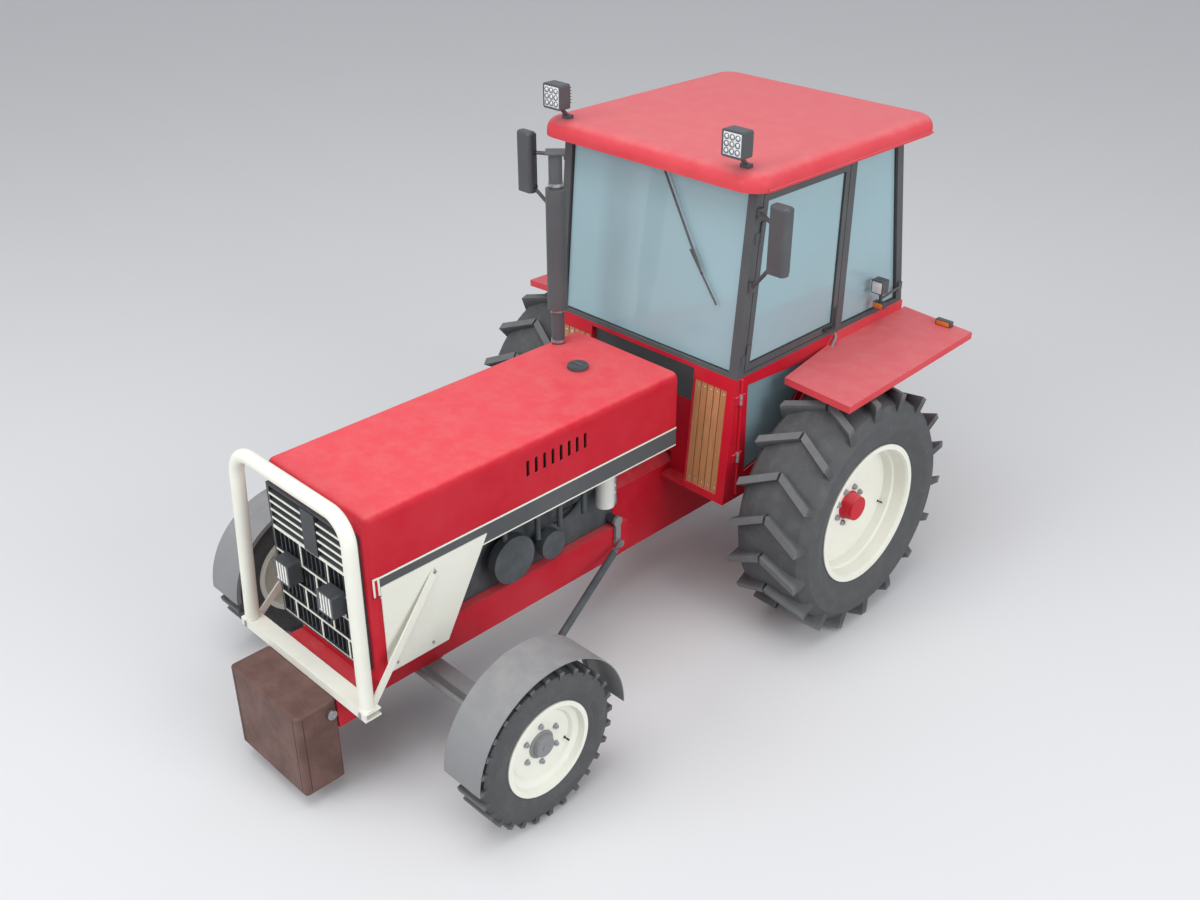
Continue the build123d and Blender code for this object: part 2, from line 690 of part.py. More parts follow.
# Square headlamps on the grille, each with a shallow lens and white bars across it.
with BuildPart() as headlamps:
    for sign in SIDES.values():
        with BuildSketch(Plane.XZ.offset(-ahead(grille_front))) as lamp_face:
            with Locations((sign * LAMP_X, LAMP_Z)):
                RectangleRounded(LAMP_W, LAMP_W, 12)
        extrude(lamp_face.sketch, amount=LAMP_DEEP)
        with BuildSketch(Plane.XZ.offset(-ahead(grille_front + LAMP_DEEP - 14))) as lens:
            with Locations((sign * LAMP_X, LAMP_Z)):
                RectangleRounded(LAMP_W - 20, LAMP_W - 20, 8)
        extrude(lens.sketch, amount=14, mode=Mode.SUBTRACT)
        with BuildSketch(Plane.XZ.offset(-ahead(grille_front + LAMP_DEEP - 14))) as bars:
            with Locations((sign * LAMP_X, LAMP_Z)):
                with GridLocations(26, 0, 4, 1):
                    Rectangle(12, LAMP_W - 20)
        extrude(bars.sketch, amount=12)
keep(headlamps, "headlamps")

# Engine: a plain block with the fittings that show below the hood.
with BuildPart() as engine:
    side_prism(
        [
            (ENGINE_REAR_AHEAD, ENGINE_BOTTOM + 80),
            (ENGINE_REAR_AHEAD + 60, ENGINE_BOTTOM),
            (ENGINE_FRONT_AHEAD, ENGINE_BOTTOM),
            (ENGINE_FRONT_AHEAD, ENGINE_TOP),
            (ENGINE_REAR_AHEAD, ENGINE_TOP),
        ],
        -ENGINE_X,
        ENGINE_X,
    )
    block(-60, 60, ENGINE_REAR_AHEAD + 100, ENGINE_REAR_AHEAD + 130, ENGINE_TOP, HOOD_TOP - HOOD_SKIN)
    rod((ENGINE_X, drop_y, drop_pin_z), (drop_in - 6, drop_y, drop_pin_z), DROP_SHAFT_R + 8)
    rod((ENGINE_X + 20, drop_y, drop_pin_z), (drop_in - 6, drop_y, drop_pin_z), DROP_SHAFT_R + PIN_GAP, Mode.SUBTRACT)
    for fit_ahead, z, radius in ((2023, 935, 150), (1719, 893, 90)):
        rod((ENGINE_X, ahead(fit_ahead), z), (300, ahead(fit_ahead), z), radius * 0.45)
        rod((300, ahead(fit_ahead), z), (360, ahead(fit_ahead), z), radius)
    rod((325, ahead(2064), 1265), (325, ahead(1438), 1265), 24)
    for fit_ahead, z in ((2064, 1029), (1812, 965), (1636, 974), (1438, 975)):
        rod((325, ahead(fit_ahead), z), (325, ahead(fit_ahead), 1265), 18)
        rod((ENGINE_X, ahead(fit_ahead), 1265), (325, ahead(fit_ahead), 1265), 18)
    rod((330, ahead(1265), 956), (330, ahead(1265), 1190), 58)
    block(ENGINE_X, 370, 1225, 1305, 1190, 1230)
    for sign in SIDES.values():
        block(sign * ENGINE_X, sign * (ENGINE_X + 45), 2380, 2440, RAIL_TOP, RAIL_TOP + 50)
    block(-330, -ENGINE_X, 1300, 2350, 1300, 1400)
    rod((-290, ahead(1700), 840), (-290, ahead(2000), 840), 62)
    rod((-290, ahead(2150), 1000), (-290, ahead(2330), 1000), 80)
keep(engine, "engine")

# Exhaust: elbow from the manifold, stack through the hood, muffler and rain plate.
with BuildPart() as exhaust_stack:
    rod((EXHAUST_X, ahead(EXHAUST_AHEAD), 1350), (EXHAUST_X, ahead(EXHAUST_AHEAD), EXHAUST_TOP), EXHAUST_PIPE_R)
    rod((EXHAUST_X, ahead(EXHAUST_AHEAD), MUFFLER_BOTTOM), (EXHAUST_X, ahead(EXHAUST_AHEAD), MUFFLER_TOP), MUFFLER_R)
    rod((EXHAUST_X, ahead(EXHAUST_AHEAD - 41), 1350), (EXHAUST_X, ahead(1345), 1350), EXHAUST_PIPE_R)
    rod((EXHAUST_X, ahead(1345), 1350), (-330, ahead(1345), 1350), EXHAUST_PIPE_R)
    with BuildSketch(Plane.XY.offset(EXHAUST_TOP)) as rain_plate:
        with Locations((EXHAUST_X, ahead(EXHAUST_AHEAD))):
            Rectangle(116, 116, rotation=45)
    extrude(rain_plate.sketch, amount=8)
keep(exhaust_stack, "exhaust_stack")

# Fuel tank under the hood's rear, with its neck and cap above the hood.
with BuildPart() as fuel_tank:
    block(-300, 395, HOOD_REAR_AHEAD + 25, CAP_AHEAD + 55, TANK_BOTTOM, TANK_TOP)
    rod((CAP_X, ahead(CAP_AHEAD), TANK_TOP), (CAP_X, ahead(CAP_AHEAD), HOOD_TOP + 0.3), FILLER_R)
    rod((CAP_X, ahead(CAP_AHEAD), HOOD_TOP + 0.3), (CAP_X, ahead(CAP_AHEAD), HOOD_TOP + CAP_H), CAP_R)
    for x in (-200, 200):
        block(x - 20, x + 20, HOOD_REAR_AHEAD + 60, HOOD_REAR_AHEAD + 100, GEARBOX_TOP, TANK_BOTTOM)
keep(fuel_tank, "fuel_tank")

# Transmission: shouldered housing, axle trumpets and a bore for each half shaft.
gear_x = GEARBOX_X
with BuildPart() as transmission:
    front_prism(
        [
            (-gear_x, GEARBOX_BOTTOM),
            (gear_x, GEARBOX_BOTTOM),
            (gear_x, GEARBOX_TOP - GEARBOX_SHOULDER),
            (gear_x - GEARBOX_SHOULDER, GEARBOX_TOP),
            (GEARBOX_SHOULDER - gear_x, GEARBOX_TOP),
            (-gear_x, GEARBOX_TOP - GEARBOX_SHOULDER),
        ],
        GEARBOX_REAR_AHEAD,
        ENGINE_REAR_AHEAD,
    )
    axle = (0, REAR_AXLE_Y, REAR_TYRE_R)
    tube_end = REAR_HUB_IN_X - 10
    bore_end = REAR_HUB_IN_X - REAR_SHAFT_IN - 5
    for sign in SIDES.values():
        spin(
            [
                (sign * 200, 0),
                (sign * 200, 175),
                (sign * 300, 165),
                (sign * 520, AXLE_TUBE_R),
                (sign * (tube_end - 40), AXLE_TUBE_R),
                (sign * (tube_end - 40), AXLE_TUBE_R + 18),
                (sign * tube_end, AXLE_TUBE_R + 18),
                (sign * tube_end, REAR_SHAFT_R + PIN_GAP),
                (sign * bore_end, REAR_SHAFT_R + PIN_GAP),
                (sign * bore_end, 0),
            ],
            axle,
        )
keep(transmission, "transmission")


def lean(z):
    """Distance ahead of the cab's leaning front plane at a height."""
    return CAB_FRONT_AHEAD - CAB_LEAN * (z - CAB_BOTTOM)


def rake(z):
    """Distance ahead of the cab's raked rear plane at a height above the belt."""
    return C_POST_FOOT_AHEAD + (C_POST_HEAD_AHEAD - C_POST_FOOT_AHEAD) * (z - BELT_Z) / (ROOF_BOTTOM - BELT_Z)


def leaning(z_from, z_to, back, thick, x_from, x_to, mode=Mode.ADD):
    """A plate parallel to the cab's front plane and this far behind it."""
    side_prism(
        [
            (lean(z_from) - back, z_from),
            (lean(z_to) - back, z_to),
            (lean(z_to) - back - thick, z_to),
            (lean(z_from) - back - thick, z_from),
        ],
        x_from, x_to, mode,
    )


def raking(z_from, z_to, ahead_of, thick, x_from, x_to):
    """A plate parallel to the cab's rear plane and this far ahead of it."""
    side_prism(
        [
            (rake(z_from) + ahead_of, z_from),
            (rake(z_to) + ahead_of, z_to),
            (rake(z_to) + ahead_of + thick, z_to),
            (rake(z_from) + ahead_of + thick, z_from),
        ],
        x_from, x_to,
    )


def hinge_half(sign, z_from, z_to, back_from, back_to):
    """One half of a door hinge: its barrel on the leaning pin line, and its flap."""
    pins = []
    for z in (z_from, z_to):
        pins.append((sign * (CAB_X + HINGE_OUT), ahead(lean(z) - POST_W - DOOR_GAP / 2), z))
    rod(*pins, HINGE_R)
    leaning(z_from, z_to, back_from, back_to - back_from, sign * CAB_X, sign * (CAB_X + HINGE_OUT - 3))


# Cab frame above the belt: belt ring, posts and header ring, with the wiper.
belt_low = BELT_Z - BELT_H / 2
belt_top = BELT_Z + BELT_H / 2
header = ROOF_BOTTOM - HEADER_H
post_in = CAB_X - POST_W
with BuildPart() as cab_frame:
    for low, top in ((belt_low, belt_top), (header, ROOF_BOTTOM)):
        leaning(low, top, 0, POST_W, -CAB_X, CAB_X)
        raking(low, top, 0, POST_W, -CAB_X, CAB_X)
    for sign in SIDES.values():
        for low, top in ((belt_low, belt_top), (header, ROOF_BOTTOM)):
            side_prism(
                [(rake(low), low), (lean(low), low), (lean(top), top), (rake(top), top)],
                sign * (CAB_X - POST_T), sign * CAB_X,
            )
        leaning(belt_low, ROOF_BOTTOM, 0, POST_W, sign * post_in, sign * CAB_X)
        raking(belt_low, ROOF_BOTTOM, 0, POST_W, sign * post_in, sign * CAB_X)
        block(
            sign * (CAB_X - POST_T), sign * CAB_X, B_POST_AHEAD - POST_W / 2, B_POST_AHEAD + POST_W / 2,
            belt_low, ROOF_BOTTOM,
        )
        for z in HINGES:
            hinge_half(sign, z - HINGE_H, z - PIN_GAP, POST_W - 40, POST_W + DOOR_GAP / 2)
    wiper = [(73, 2835), (430, 2290)]
    rod(*[(x, ahead(lean(z) + 10), z) for x, z in wiper], 7)
    rod((73, ahead(lean(2835) + 14), 2835), (73, ahead(lean(2835) - 20), 2835), 14)
    rod(*[(x, ahead(lean(z) + 4), z) for x, z in ((325, 2405), (560, 2130))], 6)
    rod((430, ahead(lean(2290) + 10), 2290), (430, ahead(lean(2290) + 2), 2285), 8)
keep(cab_frame, "cab_frame")

# Fixed glass: windscreen, rear window and the quarter lights.
b_rear = B_POST_AHEAD - POST_W / 2
with BuildPart() as cab_glass:
    leaning(belt_top, header, 24, GLASS_T, -post_in, post_in)
    raking(belt_top, header, 24, GLASS_T, -post_in, post_in)
    for sign in SIDES.values():
        side_prism(
            [
                (b_rear, belt_top),
                (b_rear, header),
                (rake(header) + POST_W, header),
                (rake(belt_top) + POST_W, belt_top),
            ],
            sign * (CAB_X - 30), sign * (CAB_X - 30 + GLASS_T),
        )
keep(cab_glass, "cab_glass")

# Door leaves above the belt, hung on the leaning front posts.
leaf_low = belt_top + DOOR_GAP
leaf_top = header - DOOR_GAP
leaf_rear = B_POST_AHEAD + POST_W / 2 + DOOR_GAP
leaf_back = POST_W + DOOR_GAP
pane_low = leaf_low + DOOR_FRAME
pane_top = leaf_top - DOOR_FRAME
pane_rear = leaf_rear + DOOR_FRAME
pane_back = leaf_back + DOOR_FRAME
for side, sign in SIDES.items():
    leaf_in = sign * (CAB_X - DOOR_T)
    pane_x = sign * (CAB_X - DOOR_T / 2 - GLASS_T / 2)
    pane = [
        (pane_rear, pane_low),
        (lean(pane_low) - pane_back, pane_low),
        (lean(pane_top) - pane_back, pane_top),
        (pane_rear, pane_top),
    ]
    with BuildPart() as door:
        side_prism(
            [
                (leaf_rear, leaf_low),
                (lean(leaf_low) - leaf_back, leaf_low),
                (lean(leaf_top) - leaf_back, leaf_top),
                (leaf_rear, leaf_top),
            ],
            leaf_in, sign * CAB_X,
        )
        side_prism(pane, leaf_in, sign * CAB_X, Mode.SUBTRACT)
        for z in HINGES:
            hinge_half(sign, z, z + HINGE_H, POST_W + DOOR_GAP / 2, POST_W + 40)
        block(sign * CAB_X, sign * (CAB_X + 26), leaf_rear + 8, leaf_rear + 34, leaf_low + 20, leaf_low + 150)
    keep(door, f"door_{side}")
    with BuildPart() as door_glass:
        side_prism(pane, pane_x, pane_x + sign * GLASS_T)
    keep(door_glass, f"door_{side}_glass")


def leaf_edge(z):
    """Distance ahead of the lower leaf's slanted rear edge at a height."""
    return 165 - 0.804 * (z - 1087)


# Cab body below the belt: corner posts, sills, front bands and rear wall.
floor_top = CAB_BOTTOM + DECK_T
sill_top = CAB_BOTTOM + 25
cheek_x = SLAT_IN_X - 10
with BuildPart() as cab_lower:
    for sign in SIDES.values():
        side_prism(
            [
                (LEAF_FRONT_AHEAD, CAB_BOTTOM),
                (lean(CAB_BOTTOM), CAB_BOTTOM),
                (lean(belt_low), belt_low),
                (LEAF_FRONT_AHEAD, belt_low),
            ],
            sign * post_in, sign * CAB_X,
        )
        leaning(CAB_BOTTOM, SLAT_BOTTOM, 0, 40, sign * SLAT_IN_X, sign * post_in)
        block(sign * cheek_x, sign * post_in, LEAF_FRONT_AHEAD, lean(SLAT_BOTTOM) - 30, CAB_BOTTOM, floor_top)
        leaning(SLAT_TOP, belt_low, 0, 30, sign * SLAT_IN_X, sign * post_in)
        side_prism(
            [
                (LEAF_FRONT_AHEAD - 13, floor_top),
                (lean(floor_top), floor_top),
                (lean(belt_low), belt_low),
                (LEAF_FRONT_AHEAD - 13, belt_low),
            ],
            sign * cheek_x, sign * SLAT_IN_X,
        )
    leaning(1691, belt_low, 0, 30, -SLAT_IN_X, SLAT_IN_X)
    for sign in SIDES.values():
        block(sign * (CAB_X - WALL_T), sign * CAB_X, leaf_edge(sill_top), LEAF_FRONT_AHEAD, floor_top, sill_top)
    block(-CAB_X, CAB_X, C_POST_FOOT_AHEAD, C_POST_FOOT_AHEAD + WALL_T, DECK_Z - DECK_T, belt_low)
keep(cab_lower, "cab_lower")

# Lower leaves: a red frame with a slanted rear edge round a dark pane.
lower_pane = [(492, 1649), (480, 1049), (246, 1087), (-173, 1608)]
with BuildPart() as lower_leaves:
    for sign in SIDES.values():
        inner = sign * (CAB_X - WALL_T)
        side_prism(
            [
                (LEAF_FRONT_AHEAD, sill_top),
                (LEAF_FRONT_AHEAD, belt_low),
                (leaf_edge(belt_low), belt_low),
                (leaf_edge(sill_top), sill_top),
            ],
            inner, sign * CAB_X,
        )
        side_prism(lower_pane, inner, sign * CAB_X, Mode.SUBTRACT)
        pin_at = (sign * (CAB_X + 7), ahead(560))
        rod((*pin_at, sill_top + 10), (*pin_at, belt_low - 6), 9)
        for z in (1187, 1581):
            rod((*pin_at, z - 35), (*pin_at, z + 35), 16)
            block(sign * CAB_X, sign * (CAB_X + 12), 520, 610, z - 24, z + 24)
keep(lower_leaves, "lower_leaves")

with BuildPart() as lower_glass:
    for sign in SIDES.values():
        side_prism(lower_pane, sign * (CAB_X - 20), sign * (CAB_X - 20 + GLASS_T))
keep(lower_glass, "lower_glass")

# Cab floor: side wells, tunnel over the gearbox, firewall and rear deck.
well_rear = AXLE_TUBE_R + 90
wall_ahead = LEAF_FRONT_AHEAD - 13
tunnel_z = GEARBOX_TOP
with BuildPart() as cab_floor:
    for sign in SIDES.values():
        block(sign * gear_x, sign * CAB_X, well_rear, LEAF_FRONT_AHEAD, CAB_BOTTOM, floor_top)
        block(sign * gear_x, sign * cheek_x, LEAF_FRONT_AHEAD, lean(CAB_BOTTOM), CAB_BOTTOM, floor_top)
        block(sign * gear_x, sign * (CAB_X - WALL_T), well_rear, well_rear + 12, CAB_BOTTOM, DECK_Z)
        block(sign * gear_x, sign * (gear_x + 12), well_rear, wall_ahead, CAB_BOTTOM, tunnel_z + 12)
        block(sign * gear_x, sign * post_in, wall_ahead - 12, wall_ahead, CAB_BOTTOM, belt_low)
    block(-gear_x, gear_x, well_rear, wall_ahead, tunnel_z, tunnel_z + 12)
    block(-gear_x, gear_x, wall_ahead - 12, wall_ahead, tunnel_z, belt_low)
    deck_low = DECK_Z - DECK_T
    block(WALL_T - CAB_X, CAB_X - WALL_T, C_POST_FOOT_AHEAD + WALL_T, well_rear + 12, deck_low, DECK_Z)
    block(-CAB_X, CAB_X, C_POST_FOOT_AHEAD + WALL_T, leaf_edge(DECK_Z) - 2, deck_low, DECK_Z)
    block(-150, 150, -250, -190, GEARBOX_TOP, deck_low)
keep(cab_floor, "cab_floor")

# Wooden slats on two battens in the cab's front corners.
slat_pitch = (post_in - SLAT_IN_X) / 5
with BuildPart() as slat_panels:
    for sign in SIDES.values():
        for slat in range(5):
            x = SLAT_IN_X + slat * slat_pitch
            leaning(SLAT_BOTTOM, SLAT_TOP, 6, 16, sign * (x + 3), sign * (x + slat_pitch - 3))
        for z in (SLAT_BOTTOM + 60, SLAT_TOP - 100):
            leaning(z, z + 50, 22, 12, sign * SLAT_IN_X, sign * post_in)
keep(slat_panels, "slat_panels")

# Roof: a rounded cap with a recessed lining.
with BuildPart() as roof:
    with BuildSketch(Plane.XY.offset(ROOF_BOTTOM)) as roof_plan:
        with Locations((0, ahead((ROOF_FRONT_AHEAD + ROOF_REAR_AHEAD) / 2))):
            RectangleRounded(2 * ROOF_X, ROOF_FRONT_AHEAD - ROOF_REAR_AHEAD, ROOF_CORNER_R)
    extrude(roof_plan.sketch, amount=ROOF_TOP - ROOF_BOTTOM)
    fillet(roof.faces().sort_by(Axis.Z)[-1].edges(), ROOF_EDGE_R)
    block(
        -post_in, post_in, rake(ROOF_BOTTOM) + POST_W, lean(ROOF_BOTTOM) - POST_W,
        ROOF_BOTTOM, ROOF_TOP - 40, Mode.SUBTRACT,
    )
keep(roof, "roof")

# Mirrors on two arms from each front post.
mirror_x = 1015
mirror_ahead = 620
with BuildPart() as mirrors:
    for sign in SIDES.values():
        with BuildSketch(Plane.XY.offset(2462)) as mirror_plan:
            with Locations((sign * mirror_x, ahead(mirror_ahead))):
                RectangleRounded(128, 70, 24)
        extrude(mirror_plan.sketch, amount=393)
    fillet(mirrors.faces().group_by(Axis.Z)[-1].edges(), 20)
    for sign in SIDES.values():
        for post_z, arm_end_z in ((2720, 2720), (2290, 2500)):
            post_at = lean(post_z) - POST_W / 2
            block(sign * CAB_X, sign * (CAB_X + 22), post_at - 20, post_at + 20, post_z - 30, post_z + 30)
            rod(
                (sign * (CAB_X + 13), ahead(post_at), post_z),
                (sign * (mirror_x - 40), ahead(mirror_ahead - 10), arm_end_z),
                12,
            )
keep(mirrors, "mirrors")

# Work lamps on stalks at the roof's front corners.
with BuildPart() as roof_lamps:
    for sign in SIDES.values():
        with BuildSketch(Plane.XZ.offset(-ahead(600))) as lamp_back:
            with Locations((sign * 704, 3131)):
                RectangleRounded(150, 150, 14)
        extrude(lamp_back.sketch, amount=84)
        block(sign * 704 - 30, sign * 704 + 30, 530, 572, ROOF_TOP, ROOF_TOP + 22)
        rod((sign * 704, ahead(552), ROOF_TOP + 14), (sign * 704, ahead(640), 3080), 13)
keep(roof_lamps, "roof_lamps")

# Rear fenders: inner wall, flat top with a turned-down lip.
wall_low = DECK_Z - DECK_T
with BuildPart() as rear_fenders:
    for sign in SIDES.values():
        plan = [
            FENDER_FRONT_IN,
            FENDER_FRONT_OUT,
            FENDER_REAR_OUT,
            (CAB_X + FENDER_T, FENDER_REAR_IN_AHEAD),
            (CAB_X + FENDER_T / 2, FENDER_REAR_IN_AHEAD),
            (CAB_X + FENDER_T / 2, leaf_edge(FENDER_TOP)),
        ]
        for inset, low, top, mode in (
            (0, FENDER_TOP - FENDER_LIP, FENDER_TOP, Mode.ADD),
            (FENDER_T, FENDER_TOP - FENDER_LIP, FENDER_TOP - FENDER_T, Mode.SUBTRACT),
        ):
            with BuildSketch(Plane.XY.offset(low)) as top_plan:
                with BuildLine():
                    Polyline(*[(sign * x, ahead(d)) for x, d in plan], close=True)
                make_face()
                if inset:
                    offset(amount=-inset, kind=Kind.INTERSECTION)
            extrude(top_plan.sketch, amount=top - low, mode=mode)
        side_prism(
            [
                (leaf_edge(wall_low), wall_low),
                (leaf_edge(belt_low), belt_low),
                (C_POST_FOOT_AHEAD, belt_low),
                (C_POST_FOOT_AHEAD, wall_low),
            ],
            sign * CAB_X, sign * (CAB_X + FENDER_T),
        )
keep(rear_fenders, "rear_fenders")

# Rear lamps: a work lamp and flasher on an arm, and a tail lamp on each fender.
with BuildPart() as rear_lamps:
    for sign in SIDES.values():
        post_at = rake(1850) + POST_W / 2
        block(sign * CAB_X, sign * (CAB_X + 14), post_at - 20, post_at + 20, 1800, 1860)
        rod((sign * (CAB_X + 10), ahead(post_at), 1830), (sign * 830, ahead(-760), 1845), 9)
        rod((sign * 830, ahead(-760), 1800), (sign * 830, ahead(-760), 1960), 12)
        block(sign * 830 - 42, sign * 830 + 42, -770, -700, 1900, 1990)
        block(sign * 830 - 38, sign * 830 + 38, -775, -730, 1790, 1830)
        block(sign * 1075, sign * 1185, -1100, -1060, FENDER_TOP, FENDER_TOP + 38)
keep(rear_lamps, "rear_lamps")

# Seat on its pedestal. The cushions are plain closed forms.
with BuildPart() as seat_base:
    block(-110, 110, -560, -340, DECK_Z, DECK_Z + 90)
    block(-190, 190, -640, -220, DECK_Z + 90, DECK_Z + 120)
    block(-150, 150, -690, -660, DECK_Z + 90, DECK_Z + 520)
    block(-150, 150, -690, -620, DECK_Z + 90, DECK_Z + 120)
keep(seat_base, "seat_base")

with BuildPart() as seat_cushion:
    block(-240, 240, -645, -190, DECK_Z + 120.3, DECK_Z + 240)
    fillet(seat_cushion.edges().filter_by(Axis.Z), 50)
keep(seat_cushion, "seat_cushion")

with BuildPart() as seat_back:
    block(-230, 230, -659.7, -570, DECK_Z + 245, DECK_Z + 660)
    fillet(seat_back.edges().filter_by(Axis.Y), 60)
keep(seat_back, "seat_back")

# Instrument console, steering column and wheel.
column = [(0, ahead(470), 1560), (0, ahead(250), 1730)]
with BuildPart() as dashboard:
    side_prism(
        [(wall_ahead - 12, tunnel_z + 12), (wall_ahead - 12, 1640), (430, 1600), (400, 1480), (470, 1300), (470, tunnel_z + 12)],
        -210, 210,
    )
    rod(*column, 22)
    wheel_plane = Plane(origin=column[1], z_dir=Vector(*column[1]) - Vector(*column[0]))
    with BuildSketch(Plane(origin=column[1], x_dir=wheel_plane.z_dir, z_dir=wheel_plane.x_dir)) as rim_section:
        with Locations((0, 205)):
            Circle(14)
    revolve(rim_section.sketch, axis=Axis(column[1], wheel_plane.z_dir))
    with BuildSketch(wheel_plane.offset(-7)) as spokes:
        Circle(36)
        with PolarLocations(103, 3):
            Rectangle(206, 26)
    extrude(spokes.sketch, amount=14)
keep(dashboard, "dashboard")

# Hand levers and pedals.
with BuildPart() as controls:
    block(-430, -330, -480, -60, DECK_Z, DECK_Z + 190)
    for d in (-150, -240, -330):
        rod((-380, ahead(d), DECK_Z + 180), (-370, ahead(d + 60), DECK_Z + 360), 8)
        rod((-370, ahead(d + 60), DECK_Z + 360), (-367, ahead(d + 77), DECK_Z + 410), 18)
    for x in (-330, 330):
        block(x - 8, x + 8, 380, 400, CAB_BOTTOM + 12, CAB_BOTTOM + 200)
        block(x - 40, x + 40, 370, 385, CAB_BOTTOM + 180, CAB_BOTTOM + 260)
keep(controls, "controls")

# Rear hitch: drawbar, lower links with lift rods, top link and power take-off.
gear_rear = GEARBOX_REAR_AHEAD
with BuildPart() as rear_linkage:
    block(-45, 45, -800, gear_rear + 250, GEARBOX_BOTTOM - 35, GEARBOX_BOTTOM)
    rod((0, ahead(-750), GEARBOX_BOTTOM - 36), (0, ahead(-750), GEARBOX_BOTTOM + 1), 16, Mode.SUBTRACT)
    rod((0, ahead(gear_rear), 640), (0, ahead(gear_rear - 30), 640), 60)
    rod((0, ahead(gear_rear - 30), 640), (0, ahead(gear_rear - 130), 640), 17.4)
    block(-50, 50, gear_rear - 60, gear_rear, 860, 960)
    rod((0, ahead(gear_rear - 40), 910), (0, ahead(-890), 980), 22)
    rod((-25.5, ahead(-905), 982), (25.5, ahead(-905), 982), 34)
    rod((-30, ahead(-905), 982), (30, ahead(-905), 982), 12.95, Mode.SUBTRACT)
    block(-170, 170, gear_rear - 70, gear_rear, 960, GEARBOX_TOP)
    rod((-330, ahead(gear_rear - 40), 985), (330, ahead(gear_rear - 40), 985), 30)
    for sign in SIDES.values():
        hip = (sign * 290, ahead(gear_rear - 30), 520)
        ball = (sign * 412.5, ahead(-1010), 560)
        block(sign * 200, sign * 300, gear_rear - 55, gear_rear, 480, 560)
        rod(hip, (sign * 412.5, ahead(-975), 558), 20)
        rod((ball[0] - 22.5, ball[1], ball[2]), (ball[0] + 22.5, ball[1], ball[2]), 42)
        rod((ball[0] - 25, ball[1], ball[2]), (ball[0] + 25, ball[1], ball[2]), 14.35, Mode.SUBTRACT)
        rod((sign * 315, ahead(gear_rear - 40), 985), (sign * 345, ahead(-640), 998), 22)
        rod((sign * 345, ahead(-640), 998), (sign * 352, ahead(-660), 540), 15)
keep(rear_linkage, "rear_linkage")
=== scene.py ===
"""The looks of the vintage farm tractor: finishes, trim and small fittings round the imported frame."""

import logging
import math
from dataclasses import dataclass, field
from enum import Enum

import bmesh
import bpy
from mathutils import Matrix, Vector


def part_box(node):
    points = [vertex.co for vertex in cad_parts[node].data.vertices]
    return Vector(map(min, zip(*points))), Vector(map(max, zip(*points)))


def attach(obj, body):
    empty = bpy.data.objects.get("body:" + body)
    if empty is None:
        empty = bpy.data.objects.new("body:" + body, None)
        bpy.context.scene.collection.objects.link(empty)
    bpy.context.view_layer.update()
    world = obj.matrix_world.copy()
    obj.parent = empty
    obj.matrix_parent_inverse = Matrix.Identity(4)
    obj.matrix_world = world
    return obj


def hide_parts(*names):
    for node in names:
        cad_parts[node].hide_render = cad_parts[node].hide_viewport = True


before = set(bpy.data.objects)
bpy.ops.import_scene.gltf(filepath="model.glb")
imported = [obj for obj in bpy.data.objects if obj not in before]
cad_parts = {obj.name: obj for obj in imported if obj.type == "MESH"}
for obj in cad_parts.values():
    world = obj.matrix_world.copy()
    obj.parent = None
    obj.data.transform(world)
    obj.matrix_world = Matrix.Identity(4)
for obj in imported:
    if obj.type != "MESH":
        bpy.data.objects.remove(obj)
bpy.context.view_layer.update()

MM = 0.001
SIDES = {"left": 1, "right": -1}
ROOT = "tractor"
UP = Vector((0, 0, 1))
FORWARD = Vector((0, -1, 0))

# The cab's slats, and the rounded edges of thin strips and folds, in metres
SLAT_INNER = 0.451
SLAT_COUNT = 5
SLAT_GAP = 0.003
SLAT_THICK = 0.022
STRIP_EDGE = 0.0011
FOLD_EDGE = 0.0009

log = logging.getLogger("tractor")

Colour = tuple[float, float, float]
Point = tuple[float, float, float]
Span = tuple[float, float]
Outline = tuple[tuple[float, float], ...]
Route = tuple[Point, ...]


def wheel_centre(node: str) -> Vector:
    """The middle of a wheel's node, in metres."""
    low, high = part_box(node)
    return (low + high) / 2


REAR_AXLE = wheel_centre("rear_tyre_left")
FRONT_AXLE = wheel_centre("front_tyre_left")


def spot(x: float, ahead: float, z: float) -> Vector:
    """A place in metres from millimetres: sideways, ahead of the rear axle, and up.

    Args:
        x: Millimetres to the driver's left of the middle.
        ahead: Millimetres ahead of the rear axle.
        z: Millimetres above the ground.

    Returns:
        The place in the frame's own axes.
    """
    return Vector((x * MM, REAR_AXLE.y - ahead * MM, z * MM))


def beside(sign: int, place: Point) -> Vector:
    """A place as spot() gives it, kept on the left for 1 and mirrored to the right for -1."""
    return spot(sign * place[0], place[1], place[2])


def slat_pitch() -> float:
    """The distance from one slat to the next, in metres."""
    return (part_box("slat_panels")[1].x + SLAT_GAP - SLAT_INNER) / SLAT_COUNT


# Shader maths


